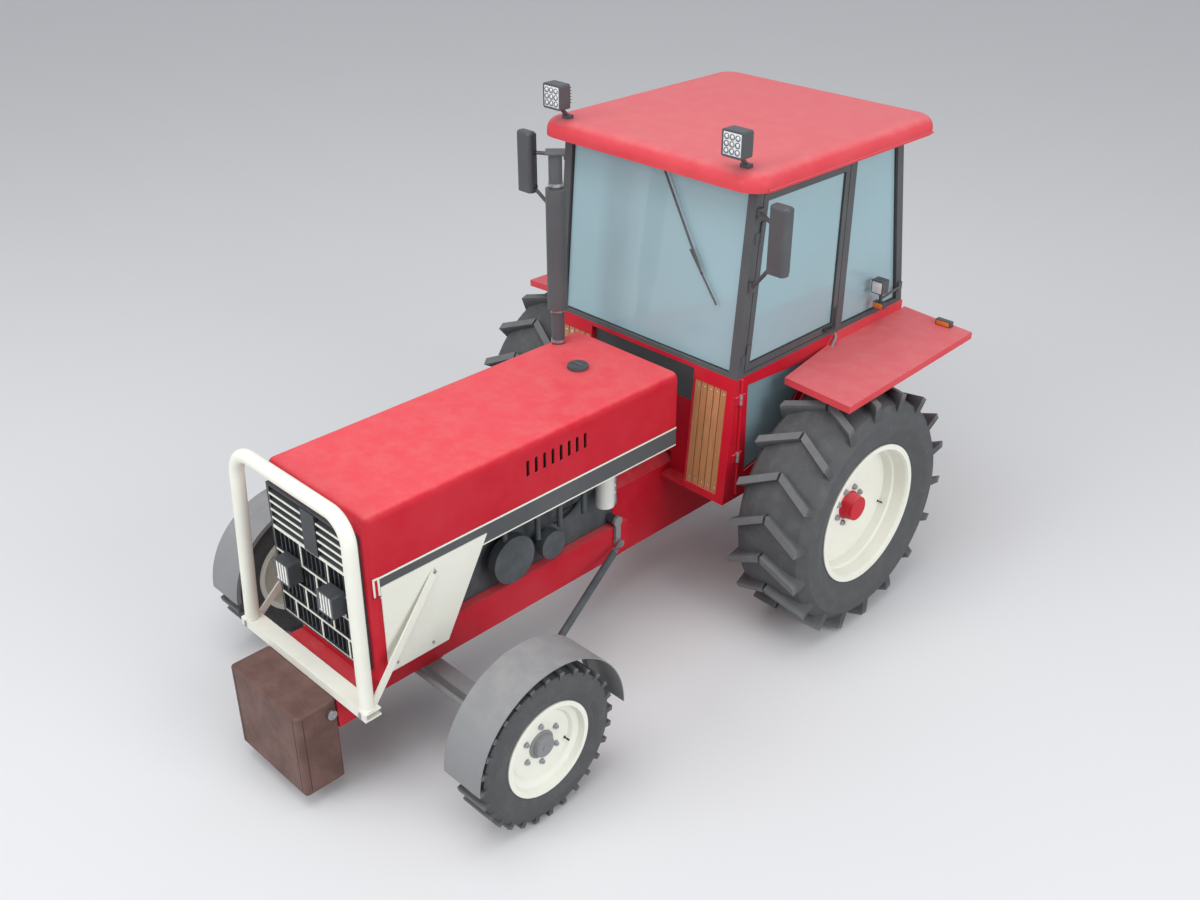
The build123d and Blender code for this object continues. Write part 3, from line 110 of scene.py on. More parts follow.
class Link:
    """A shader value, with arithmetic that adds the nodes it needs."""

    def __init__(self, graph: "Graph", socket: bpy.types.NodeSocket) -> None:
        """Keep the material's graph and the socket that gives the value."""
        self.graph = graph
        self.socket = socket

    def _maths(self, operation: str, first: object, second: object) -> "Link":
        """Join two values by one Math operation."""
        return self.graph.node("ShaderNodeMath", {"operation": operation}, {0: first, 1: second})

    def __add__(self, other: object) -> "Link":
        """Give self + other."""
        return self._maths("ADD", self, other)

    def __radd__(self, other: object) -> "Link":
        """Give other + self."""
        return self._maths("ADD", other, self)

    def __sub__(self, other: object) -> "Link":
        """Give self - other."""
        return self._maths("SUBTRACT", self, other)

    def __rsub__(self, other: object) -> "Link":
        """Give other - self."""
        return self._maths("SUBTRACT", other, self)

    def __mul__(self, other: object) -> "Link":
        """Give self * other."""
        return self._maths("MULTIPLY", self, other)

    def __rmul__(self, other: object) -> "Link":
        """Give other * self."""
        return self._maths("MULTIPLY", other, self)

    def __truediv__(self, other: object) -> "Link":
        """Give self / other."""
        return self._maths("DIVIDE", self, other)

    def __pow__(self, other: object) -> "Link":
        """Give self to the power of other."""
        return self._maths("POWER", self, other)

    def __lt__(self, other: object) -> "Link":
        """Give 1 where self is less than other."""
        return self._maths("LESS_THAN", self, other)

    def __abs__(self) -> "Link":
        """Give the size of the value without its sign."""
        return self._maths("ABSOLUTE", self, 0.0)

    def floor(self) -> "Link":
        """Round the value down."""
        return self._maths("FLOOR", self, 0.0)

    def sine(self) -> "Link":
        """Give the sine of the value."""
        return self._maths("SINE", self, 0.0)

    def ease(self, low: float, high: float) -> "Link":
        """Rise smoothly from 0 at low to 1 at high.

        Args:
            low: The value that gives 0.
            high: The value that gives 1. It may be less than low.

        Returns:
            The eased value, clamped to 0 to 1.
        """
        settings = {"interpolation_type": "SMOOTHSTEP", "clamp": True}
        values = {"Value": self, "From Min": low, "From Max": high}
        return self.graph.node("ShaderNodeMapRange", settings, values)

    def between(self, low: float, high: float, soft: float = 0.0004) -> "Link":
        """Give 1 between two values, with soft edges.

        Args:
            low: The lower bound.
            high: The upper bound.
            soft: How wide each edge is.

        Returns:
            The mask.
        """
        return self.ease(low - soft, low + soft) * self.ease(high + soft, high - soft)


class Graph:
    """The nodes of one material."""

    def __init__(self, name: str) -> None:
        """Start a material with its shader and its output."""
        self.material = bpy.data.materials.new(name)
        self.material.use_nodes = True
        self.tree = self.material.node_tree
        self.tree.nodes.clear()
        self.shader = self.tree.nodes.new("ShaderNodeBsdfPrincipled")
        self.end = self.tree.nodes.new("ShaderNodeOutputMaterial")
        self.tree.links.new(self.shader.outputs[0], self.end.inputs[0])
        self._place = None

    def _feed(self, socket: bpy.types.NodeSocket, value: object) -> None:
        """Link or set one socket."""
        if isinstance(value, Link):
            self.tree.links.new(value.socket, socket)
        elif isinstance(value, tuple) and socket.type == "RGBA":
            socket.default_value = (*value, 1.0)[:4]
        else:
            socket.default_value = value

    def node(self, kind: str, settings: dict | None = None, values: dict | None = None,
             outlet: object = 0) -> Link:
        """Add one node.

        Args:
            kind: The node's type.
            settings: Its own settings, which are set first.
            values: A value or a link for each named or numbered socket.
            outlet: The output that is handed back.

        Returns:
            The chosen output.
        """
        made = self.tree.nodes.new(kind)
        for key, value in (settings or {}).items():
            setattr(made, key, value)
        for key, value in (values or {}).items():
            self._feed(made.inputs[key], value)
        return Link(self, made.outputs[outlet])

    def place(self) -> Link:
        """Give the place on the piece itself, which turns and moves with it."""
        if self._place is None:
            self._place = self.node("ShaderNodeTexCoord", outlet="Object")
        return self._place

    def axes(self) -> tuple[Link, Link, Link]:
        """Give the place's x, y and z as numbers, in metres."""
        split = self.node("ShaderNodeSeparateXYZ", values={0: self.place()})
        return tuple(Link(self, split.socket.node.outputs[axis]) for axis in range(3))

    def stretched(self, scale: Point) -> Link:
        """Give the place with each axis scaled."""
        return self.node("ShaderNodeVectorMath", {"operation": "MULTIPLY"}, {0: self.place(), 1: scale})

    def noise(self, scale: float, detail: float = 3.0, rough: float = 0.5, at: Link | None = None) -> Link:
        """Give soft noise from 0 to 1.

        Args:
            scale: Cells to the metre.
            detail: Octaves.
            rough: How strong the fine octaves are.
            at: The place it is read at, or None for the piece's own.

        Returns:
            The noise.
        """
        values = {"Vector": at or self.place(), "Scale": scale, "Detail": detail, "Roughness": rough}
        return self.node("ShaderNodeTexNoise", None, values)

    def upward(self) -> Link:
        """Give how far the surface faces up on the piece itself, from -1 to 1."""
        normal = self.node("ShaderNodeTexCoord", outlet="Normal")
        split = self.node("ShaderNodeSeparateXYZ", values={0: normal})
        return Link(self, split.socket.node.outputs[2])

    def blend(self, first: object, second: object, share: object) -> Link:
        """Mix two colours.

        Args:
            first: The colour where the share is 0.
            second: The colour where the share is 1.
            share: The mask.

        Returns:
            The mixed colour.
        """
        settings = {"data_type": "RGBA", "clamp_factor": True}
        return self.node("ShaderNodeMix", settings, {0: share, 6: first, 7: second}, outlet=2)

    def edges(self, width: float, breakup: float) -> Link:
        """Give a mask of the sharp edges, broken by noise.

        Args:
            width: How far it reaches from an edge, in metres.
            breakup: Cells of the noise to the metre.

        Returns:
            The mask from 0 to 1.
        """
        soft = self.node("ShaderNodeBevel", {"samples": 4}, {"Radius": width})
        flat = self.node("ShaderNodeNewGeometry", outlet="Normal")
        settings = {"operation": "DOT_PRODUCT"}
        same = self.node("ShaderNodeVectorMath", settings, {0: soft, 1: flat}, outlet="Value")
        return (1.0 - same).ease(0.02, 0.2) * self.noise(breakup).ease(0.42, 0.62)

    def bump(self, height: Link, depth: float) -> None:
        """Raise the surface by a height from 0 to 1.

        Args:
            height: The height's link.
            depth: Metres that a height of 1 stands for.
        """
        values = {"Strength": 1.0, "Distance": depth, "Height": height}
        self.wear("Normal", self.node("ShaderNodeBump", None, values))

    def wear(self, socket: str, value: object) -> None:
        """Link or set one socket of the shader."""
        if isinstance(value, tuple):
            value = (*value, 1.0)
        self._feed(self.shader.inputs[socket], value)


# Finishes


@dataclass(frozen=True)
class Paint:
    """Sprayed paint: orange peel, slow fading, thin dust on top, lightly rubbed edges, and a painted
    highlight on upward faces where one is given.
    """

    name: str
    colour: Colour
    roughness: float = 0.34
    coat: float = 0.06
    gloss: float = 0.1
    fade: float = 0.035
    dust: float = 0.08
    rub: float = 0.35
    peel: float = 0.00012
    under: Colour = (0.30, 0.27, 0.25)
    edge_width: float = 0.003
    # Painted highlight: a paler colour laid on upward faces for light falling from above, and how much of it
    # is laid.
    lit_top_colour: Colour | None = None
    lit_top_share: float = 0.9
    dust_colour: Colour = (0.62, 0.57, 0.50)

    def tone(self, graph: Graph) -> Link:
        """Give the paint's own colour with its slow fading."""
        pale = tuple(min(1.0, part + self.fade * (1.0 - part) * 0.55) for part in self.colour)
        deep = tuple(part * (1.0 - self.fade) for part in self.colour)
        return graph.blend(deep, pale, graph.noise(1.7, 4.0, 0.6).ease(0.3, 0.72))

    def build(self) -> bpy.types.Material:
        """Make the material."""
        graph = Graph(self.name)
        colour = self.tone(graph)
        grime = graph.noise(9.0, 6.0, 0.7)
        up = graph.upward()
        # Painted highlight: upward faces are blended towards the paler colour, standing in for light falling
        # on the top.
        if self.lit_top_colour:
            colour = graph.blend(colour, self.lit_top_colour, up.ease(0.55, 0.97) * self.lit_top_share)
        lying = up.ease(0.3, 0.95) * grime.ease(0.35, 0.75) * self.dust
        colour = graph.blend(colour, self.dust_colour, lying)
        rubbed = graph.edges(self.edge_width, 60.0) * self.rub
        colour = graph.blend(colour, self.under, rubbed)
        graph.wear("Base Color", colour)
        graph.wear("Roughness", self.roughness + grime.ease(0.3, 0.8) * 0.12 + lying * 0.4 + rubbed * 0.15)
        graph.wear("Coat Weight", self.coat)
        graph.wear("Coat Roughness", 0.12)
        graph.wear("Specular IOR Level", self.gloss)
        graph.bump(graph.noise(900.0, 2.0), self.peel)
        return graph.material


@dataclass(frozen=True)
class Casting:
    """Painted sand casting or heavy plate, with a grainy skin."""

    name: str
    colour: Colour
    roughness: float = 0.55
    grain: float = 0.0004
    under: Colour = (0.22, 0.17, 0.14)
    rub: float = 0.5

    def tone(self, graph: Graph) -> Link:
        """Give the casting's colour, with cloudy staining."""
        deep = tuple(part * 0.8 for part in self.colour)
        pale = tuple(min(1.0, part * 1.15 + 0.008) for part in self.colour)
        return graph.blend(deep, pale, graph.noise(6.0, 5.0, 0.65).ease(0.3, 0.7))

    def build(self) -> bpy.types.Material:
        """Make the material."""
        graph = Graph(self.name)
        rubbed = graph.edges(0.004, 45.0) * self.rub
        graph.wear("Base Color", graph.blend(self.tone(graph), self.under, rubbed))
        graph.wear("Roughness", self.roughness + graph.noise(30.0, 4.0) * 0.2 - 0.1)
        graph.wear("Specular IOR Level", 0.25)
        graph.bump(graph.noise(260.0, 5.0, 0.6), self.grain)
        return graph.material


@dataclass(frozen=True)
class EngineCasting(Casting):
    """The engine's casting, with its filter bowl picked out pale."""

    bowl_x: tuple[float, float] = (0.262, 0.40)
    bowl_z: tuple[float, float] = (0.90, 1.189)
    bowl_ahead: float = 1265.0
    bowl_reach: float = 0.064
    bowl_colour: Colour = (0.66, 0.66, 0.62)

    def tone(self, graph: Graph) -> Link:
        """Give the casting's colour with the bowl's over it."""
        x, y, z = graph.axes()
        middle = spot(0, self.bowl_ahead, 0).y
        near = y.between(middle - self.bowl_reach, middle + self.bowl_reach)
        bowl = near * x.between(*self.bowl_x) * z.between(*self.bowl_z)
        return graph.blend(Casting.tone(self, graph), self.bowl_colour, bowl)


@dataclass(frozen=True)
class Rubber:
    """Tyre rubber: moulded rings on the wall, scuffed lugs and mottled scuffing all over."""

    name: str
    axle: Vector
    carcass: float
    tip: float
    wall: tuple[float, float]
    pitch: float = 0.016
    colour: Colour = (0.062, 0.065, 0.068)
    scuffed: Colour = (0.155, 0.158, 0.16)

    def build(self) -> bpy.types.Material:
        """Make the material."""
        graph = Graph(self.name)
        x, y, z = graph.axes()
        radius = ((y - self.axle.y) ** 2.0 + (z - self.axle.z) ** 2.0) ** 0.5
        mottled = graph.noise(14.0, 6.0, 0.7)
        outer = radius.ease(self.carcass, self.tip)
        colour = graph.blend(self.colour, self.scuffed, mottled.ease(0.4, 0.8) * 0.3 + outer * 0.65)
        graph.wear("Base Color", colour)
        graph.wear("Roughness", 0.62 + mottled * 0.22)
        on_wall = radius.between(self.wall[0], self.wall[1], 0.004)
        rings = ((radius * (math.tau / self.pitch)).sine() * 0.5 + 0.5) * on_wall
        graph.bump(rings + graph.noise(420.0, 3.0) * 0.25, 0.0012)
        return graph.material


@dataclass(frozen=True)
class Glass:
    """Tinted safety glass that shows only a little of what is behind it."""

    name: str
    tint: Colour
    alpha: float = 0.88
    roughness: float = 0.06

    def build(self) -> bpy.types.Material:
        """Make the material."""
        graph = Graph(self.name)
        cloudy = graph.noise(1.3, 3.0)
        deep = tuple(part * 0.94 for part in self.tint)
        graph.wear("Base Color", graph.blend(deep, self.tint, cloudy.ease(0.3, 0.7)))
        graph.wear("Roughness", self.roughness + graph.noise(5.0, 5.0).ease(0.45, 0.8) * 0.08)
        graph.wear("Alpha", self.alpha + cloudy * 0.02)
        graph.wear("IOR", 1.5)
        return graph.material


@dataclass(frozen=True)
class Metal:
    """Bare, zinc plated or bright metal with fine brushing."""

    name: str
    colour: Colour
    roughness: float = 0.36
    metallic: float = 0.85
    stain: Colour = (0.20, 0.17, 0.14)
    stained: float = 0.25

    def build(self) -> bpy.types.Material:
        """Make the material."""
        graph = Graph(self.name)
        spots = graph.noise(38.0, 6.0, 0.7).ease(0.52, 0.78) * self.stained
        graph.wear("Base Color", graph.blend(self.colour, self.stain, spots))
        graph.wear("Metallic", self.metallic - spots * 0.5)
        graph.wear("Roughness", self.roughness + spots * 0.6)
        graph.bump(graph.noise(700.0, 2.0), 0.00008)
        return graph.material


@dataclass(frozen=True)
class Plastic:
    """Moulded plastic or rubber trim with a fine grain."""

    name: str
    colour: Colour
    roughness: float = 0.5
    grain: float = 0.00015
    scale: float = 800.0

    def build(self) -> bpy.types.Material:
        """Make the material."""
        graph = Graph(self.name)
        faded = graph.noise(7.0, 4.0).ease(0.35, 0.8) * 0.35
        pale = tuple(min(1.0, part * 1.3 + 0.02) for part in self.colour)
        graph.wear("Base Color", graph.blend(self.colour, pale, faded))
        graph.wear("Roughness", self.roughness + faded * 0.2)
        graph.bump(graph.noise(self.scale, 3.0), self.grain)
        return graph.material


@dataclass(frozen=True)
class Lens:
    """Lamp glass or a coloured lens, with fine moulded flutes."""

    name: str
    colour: Colour
    roughness: float = 0.12
    flutes: float = 0.006

    def build(self) -> bpy.types.Material:
        """Make the material."""
        graph = Graph(self.name)
        x, y, z = graph.axes()
        waves = ((x + y) * (math.tau / self.flutes)).sine() * 0.5 + 0.5
        # Painted shade: the colour is dimmed in the hollows of the flutes, following the same waves as the
        # bump.
        dim = tuple(part * 0.82 for part in self.colour)
        graph.wear("Base Color", graph.blend(dim, self.colour, waves))
        graph.wear("Roughness", self.roughness + graph.noise(30.0) * 0.06)
        graph.wear("Coat Weight", 0.6)
        graph.bump(waves, 0.0004)
        return graph.material


@dataclass(frozen=True)
class Timber:
    """Oiled hardwood slats, each of its own tone, with upright grain."""

    name: str
    first_slat: float
    pitch: float
    colours: tuple[Colour, Colour] = ((0.36, 0.155, 0.06), (0.52, 0.25, 0.11))
    ray_colour: Colour = (0.17, 0.07, 0.03)

    def build(self) -> bpy.types.Material:
        """Make the material."""
        graph = Graph(self.name)
        x = graph.axes()[0]
        slat = ((abs(x) - self.first_slat) / self.pitch).floor()
        own = graph.node("ShaderNodeTexWhiteNoise", {"noise_dimensions": "1D"}, {"W": slat})
        grain = graph.noise(1.0, 6.0, 0.65, graph.stretched((150.0, 60.0, 7.0)))
        rays = graph.noise(1.0, 3.0, 0.5, graph.stretched((420.0, 300.0, 22.0)))
        tone = graph.blend(*self.colours, grain.ease(0.28, 0.74) * 0.8 + own * 0.25)
        tone = graph.blend(tone, self.ray_colour, rays.ease(0.58, 0.8) * 0.45)
        graph.wear("Base Color", tone)
        graph.wear("Roughness", 0.42 + grain * 0.18)
        graph.wear("Coat Weight", 0.2)
        graph.bump(grain * 0.7 + rays * 0.3, 0.0005)
        return graph.material


@dataclass(frozen=True)
class Vinyl:
    """Seat vinyl with a leather-like grain."""

    name: str
    colour: Colour

    def build(self) -> bpy.types.Material:
        """Make the material."""
        graph = Graph(self.name)
        cells = graph.node("ShaderNodeTexVoronoi", None, {"Vector": graph.place(), "Scale": 520.0})
        polished = graph.noise(8.0, 4.0).ease(0.4, 0.7)
        pale = tuple(part * 1.5 + 0.01 for part in self.colour)
        graph.wear("Base Color", graph.blend(self.colour, pale, polished * 0.5))
        graph.wear("Roughness", 0.56 - polished * 0.14)
        graph.bump(cells, 0.0004)
        return graph.material


@dataclass(frozen=True)
class TwoTone:
    """A dark moulding whose raised front faces are pale, inside given bounds.

    Each bound is (lowest, highest) in metres along one axis, and what lies in any of the boxes is pale.
    """

    name: str
    dark: Colour
    pale: Colour
    boxes: tuple[tuple[tuple[float, float], ...], ...]
    bare: tuple[tuple[float, float], ...] | None = None
    roughness: float = 0.45

    def within(self, graph: Graph, bounds: tuple[tuple[float, float], ...]) -> Link:
        """Give the mask of one box, counting x from the middle outward."""
        x, y, z = graph.axes()
        return abs(x).between(*bounds[0]) * y.between(*bounds[1]) * z.between(*bounds[2])

    def build(self) -> bpy.types.Material:
        """Make the material."""
        graph = Graph(self.name)
        mask = self.within(graph, self.boxes[0])
        for bounds in self.boxes[1:]:
            mask = mask + self.within(graph, bounds)
        if self.bare:
            mask = mask * (1.0 - self.within(graph, self.bare))
        cloud = graph.noise(16.0, 5.0, 0.65).ease(0.35, 0.75)
        dark = graph.blend(self.dark, tuple(part * 1.35 for part in self.dark), cloud)
        pale = graph.blend(self.pale, tuple(part * 0.9 for part in self.pale), cloud)
        graph.wear("Base Color", graph.blend(dark, pale, mask))
        graph.wear("Roughness", self.roughness + cloud * 0.15)
        graph.bump(graph.noise(600.0, 3.0), 0.00015)
        return graph.material


@dataclass(frozen=True)
class FloorPan(Paint):
    """The cab floor's paint: red below the firewall's upper slot and underneath, dark inside the cab."""

    red: Colour = (0.56, 0.012, 0.028)
    ahead: float = 552.0
    top: float = 1.44
    bottom: float = 0.905

    def tone(self, graph: Graph) -> Link:
        """Give the dark paint with the red over its outer front."""
        z = graph.axes()[2]
        y = graph.axes()[1]
        outer = (y < spot(0, self.ahead, 0).y) * (z < self.top)
        low = z < self.bottom
        return graph.blend(Paint.tone(self, graph), self.red, outer + low)


class Shades:
    """The colours that several finishes share."""

    RED = (0.52, 0.008, 0.023)
    # Painted highlight: a paler red laid on upward faces of the body paint, for light falling from above.
    RED_LIT_TOP = (0.72, 0.078, 0.094)
    ROOF_RED = (0.62, 0.055, 0.07)
    # Painted highlight: a paler red laid on upward faces of the roof paint, for light falling from above.
    ROOF_LIT_TOP = (0.64, 0.13, 0.145)
    CREAM = (0.79, 0.79, 0.70)
    DARK = (0.085, 0.09, 0.095)
    GUARD = (0.235, 0.24, 0.245)
    BROWN = (0.135, 0.072, 0.06)
    BLACK = (0.03, 0.032, 0.035)
    IRON = (0.075, 0.085, 0.092)
    GRILLE = (0.036, 0.04, 0.046)
    LAMP = (0.05, 0.055, 0.06)
    LAMP_WHITE = (0.86, 0.86, 0.82)


# Mesh making


class Edge(Enum):
    """How a joined mesh is shaded where its faces meet."""

    CRISP = 25.0
    SOFT = 40.0
    ROUND = 70.0


class Shape:
    """One mesh that is put together from small forms."""

    def __init__(self) -> None:
        """Start with nothing."""
        self.mesh = bmesh.new()

    def _take(self, part: bmesh.types.BMesh, move: Matrix | None = None) -> None:
        """Join another mesh to this one and free it."""
        if move is not None:
            bmesh.ops.transform(part, matrix=move, verts=part.verts)
        held = bpy.data.meshes.new("held")
        part.to_mesh(held)
        part.free()
        self.mesh.from_mesh(held)
        bpy.data.meshes.remove(held)

    def box(self, low: Vector, high: Vector, round_by: float = 0.0, steps: int = 2) -> None:
        """Add a box with rounded edges.

        Args:
            low: Its lowest corner.
            high: Its highest corner.
            round_by: The radius of its edges.
            steps: Faces round each edge.
        """
        part = bmesh.new()
        bmesh.ops.create_cube(part, size=1.0)
        size = [abs(high[axis] - low[axis]) for axis in range(3)]
        bmesh.ops.scale(part, vec=size, verts=part.verts)
        if round_by:
            edges = part.edges[:]
            bmesh.ops.bevel(part, geom=edges, offset=round_by, segments=steps, affect="EDGES", profile=0.5)
        self._take(part, Matrix.Translation((low + high) / 2))

    def strip(self, one: Vector, other: Vector, round_by: float = STRIP_EDGE) -> None:
        """Add a rounded box between two opposite corners, given in any order.

        Args:
            one: A corner.
            other: The corner across from it.
            round_by: The radius of its edges.
        """
        low = Vector([min(pair) for pair in zip(one, other)])
        high = Vector([max(pair) for pair in zip(one, other)])
        self.box(low, high, round_by)

    def lathe(self, outline: Outline, origin: Vector, axis: Vector, around: int = 48) -> None:
        """Turn an outline about an axis.

        Args:
            outline: (distance along the axis, radius) points.
            origin: Where the distance is 0.
            axis: The axis's direction.
            around: Faces round it.
        """
        part = bmesh.new()
        rings = []
        for along, radius in outline:
            if radius < 1e-6:
                rings.append([part.verts.new((0, 0, along))])
                continue
            ring = []
            for step in range(around):
                angle = math.tau * step / around
                ring.append(part.verts.new((radius * math.cos(angle), radius * math.sin(angle), along)))
            rings.append(ring)
        for near, far in zip(rings, rings[1:]):
            for step in range(around):
                after = (step + 1) % around
                inner = [near[step % len(near)], near[after % len(near)]]
                outer = [far[after % len(far)], far[step % len(far)]]
                part.faces.new(list(dict.fromkeys(inner + outer)))
        bmesh.ops.recalc_face_normals(part, faces=part.faces)
        turn = axis.normalized().to_track_quat("Z", "Y").to_matrix().to_4x4()
        self._take(part, Matrix.Translation(origin) @ turn)

    def rod(self, start: Vector, end: Vector, radius: float, edge: float = 0.0, around: int = 24) -> None:
        """Add a round bar with chamfered ends.

        Args:
            start: One end.
            end: The other end.
            radius: Its radius.
            edge: The size of the chamfers.
            around: Faces round it.
        """
        length = (end - start).length
        near_end = ((0, 0), (0, radius - edge), (edge, radius))
        far_end = ((length - edge, radius), (length, radius - edge), (length, 0))
        self.lathe(near_end + far_end, start, end - start, around)

    def bolt(self, at: Vector, out: Vector, across: float) -> None:
        """Add a hexagon bolt head, with a washer and the stud's end.

        Args:
            at: Where it sits on the surface.
            out: Which way it points.
            across: The head's width over its flats.
        """
        out = out.normalized()
        flat = across / math.sqrt(3)
        base = across * 0.1
        self.lathe(((0, 0), (0, across * 0.68), (base, across * 0.66), (base, 0)), at, out, 20)
        tall = across * 0.55
        head = ((0, flat), (tall * 0.85, flat), (tall, flat * 0.86), (tall, 0))
        self.lathe(head, at + out * base, out, 6)
        end = ((0, across * 0.3), (across * 0.2, across * 0.26), (across * 0.2, 0))
        self.lathe(end, at + out * (base + tall), out, 12)

    def tube(self, points: list[Vector], radius: float, around: int = 12) -> None:
        """Add a round tube that bends smoothly through points.

        Args:
            points: The points that it follows.
            radius: Its radius.
            around: Faces round it.
        """
        spline = self._run("NURBS", points)
        spline.order_u = 3
        spline.use_endpoint_u = True
        spline.resolution_u = 6
        self._sweep(spline.id_data, radius, max(1, around // 4 - 1))

    def ring(self, corners: list[Vector], radius: float) -> None:
        """Add a round bead along a closed outline, with mitred corners.

        Args:
            corners: The outline's corners.
            radius: The bead's radius.
        """
        spline = self._run("POLY", corners)
        spline.use_cyclic_u = True
        self._sweep(spline.id_data, radius, 2)

    def _run(self, kind: str, points: list[Vector]) -> bpy.types.Spline:
        """Start a curve of one spline through or near the points.

        Args:
            kind: The spline's type.
            points: Its points.

        Returns:
            The spline.
        """
        curve = bpy.data.curves.new("run", "CURVE")
        curve.dimensions = "3D"
        spline = curve.splines.new(kind)
        spline.points.add(len(points) - 1)
        for knot, point in zip(spline.points, points):
            knot.co = (*point, 1.0)
        return spline

    def _sweep(self, curve: bpy.types.Curve, radius: float, steps: int) -> None:
        """Join the round sweep of a curve to this mesh and free the curve.

        Args:
            curve: The curve.
            radius: The sweep's radius.
            steps: How finely its section is rounded.
        """
        curve.bevel_depth = radius
        curve.bevel_resolution = steps
        curve.use_fill_caps = True
        holder = bpy.data.objects.new("run", curve)
        bpy.context.scene.collection.objects.link(holder)
        bent = bpy.data.meshes.new_from_object(holder.evaluated_get(bpy.context.evaluated_depsgraph_get()))
        self.mesh.from_mesh(bent)
        bpy.data.objects.remove(holder)
        bpy.data.curves.remove(curve)
        bpy.data.meshes.remove(bent)

    def finish(self, name: str, look: bpy.types.Material, body: str = ROOT, slot: str | None = None,
               edge: Edge = Edge.SOFT) -> bpy.types.Object:
        """Turn the shape into a piece of the tractor.

        Args:
            name: The piece's name.
            look: Its material.
            body: The body that it rides on.
            slot: The record's material slot, or None where none fits. Not used.
            edge: How it is shaded.

        Returns:
            The new object.
        """
        limit = math.radians(edge.value)
        for face in self.mesh.faces:
            face.smooth = True
        for line in self.mesh.edges:
            line.smooth = len(line.link_faces) == 2 and line.calc_face_angle(0.0) < limit
        mesh = bpy.data.meshes.new(name)
        self.mesh.to_mesh(mesh)
        self.mesh.free()
        mesh.materials.append(look)
        piece = bpy.data.objects.new(name, mesh)
        bpy.context.scene.collection.objects.link(piece)
        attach(piece, body)
        return piece


class Looks:
    """Every finish of the tractor, made once and shared by its pieces."""

    def __init__(self) -> None:
        """Make all the materials."""
        # The body and roof paints take a painted highlight on their upward faces.
        self.red = Paint("red_paint", Shades.RED, lit_top_colour=Shades.RED_LIT_TOP).build()
        roof = Paint("roof_paint", Shades.ROOF_RED, roughness=0.42, dust=0.1, lit_top_colour=Shades.ROOF_LIT_TOP)
        self.roof_red = roof.build()
        self.cream = Paint("cream_paint", Shades.CREAM, fade=0.06, dust=0.1, rub=0.3).build()
        self.dark = Paint("dark_paint", Shades.DARK, roughness=0.42, coat=0.1).build()
        self.pan = FloorPan("cab_floor_paint", Shades.DARK, roughness=0.42, coat=0.1).build()
        self.guard = Paint("guard_paint", Shades.GUARD, roughness=0.45, coat=0.1, dust=0.12).build()
        self.brown = Casting("brown_paint", Shades.BROWN).build()
        self.iron = Casting("engine_paint", Shades.IRON).build()
        self.engine = EngineCasting("engine_block_paint", Shades.IRON).build()
        self.steel = Metal("zinc_steel", (0.42, 0.43, 0.45)).build()
        self.bright = Metal("bright_steel", (0.66, 0.66, 0.66), 0.22, 0.95, stained=0.1).build()
        self.mirror = Metal("mirror_glass", (0.82, 0.84, 0.86), 0.04, 1.0, stained=0.02).build()
        self.black = Plastic("black_plastic", Shades.BLACK).build()
        self.seal = Plastic("black_rubber", (0.02, 0.021, 0.022), 0.6, 0.0003).build()
        self.housing = Plastic("lamp_housing", (0.062, 0.066, 0.072), 0.4).build()
        self.clear = Glass("cab_glass_tint", (0.335, 0.50, 0.545)).build()
        self.smoked = Glass("smoked_glass", (0.21, 0.31, 0.345), 0.94).build()
        self.pale_lens = Lens("pale_lens", (0.72, 0.75, 0.76)).build()
        self.amber_lens = Lens("amber_lens", (0.80, 0.20, 0.02)).build()
        self.red_lens = Lens("red_lens", (0.50, 0.02, 0.02)).build()
        self.vinyl = Vinyl("seat_vinyl", (0.035, 0.035, 0.038)).build()


def dress(node: str, look: bpy.types.Material) -> None:
    """Give a node of the frame its finish."""
    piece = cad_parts[node]
    for holder in piece.material_slots:
        holder.material = look


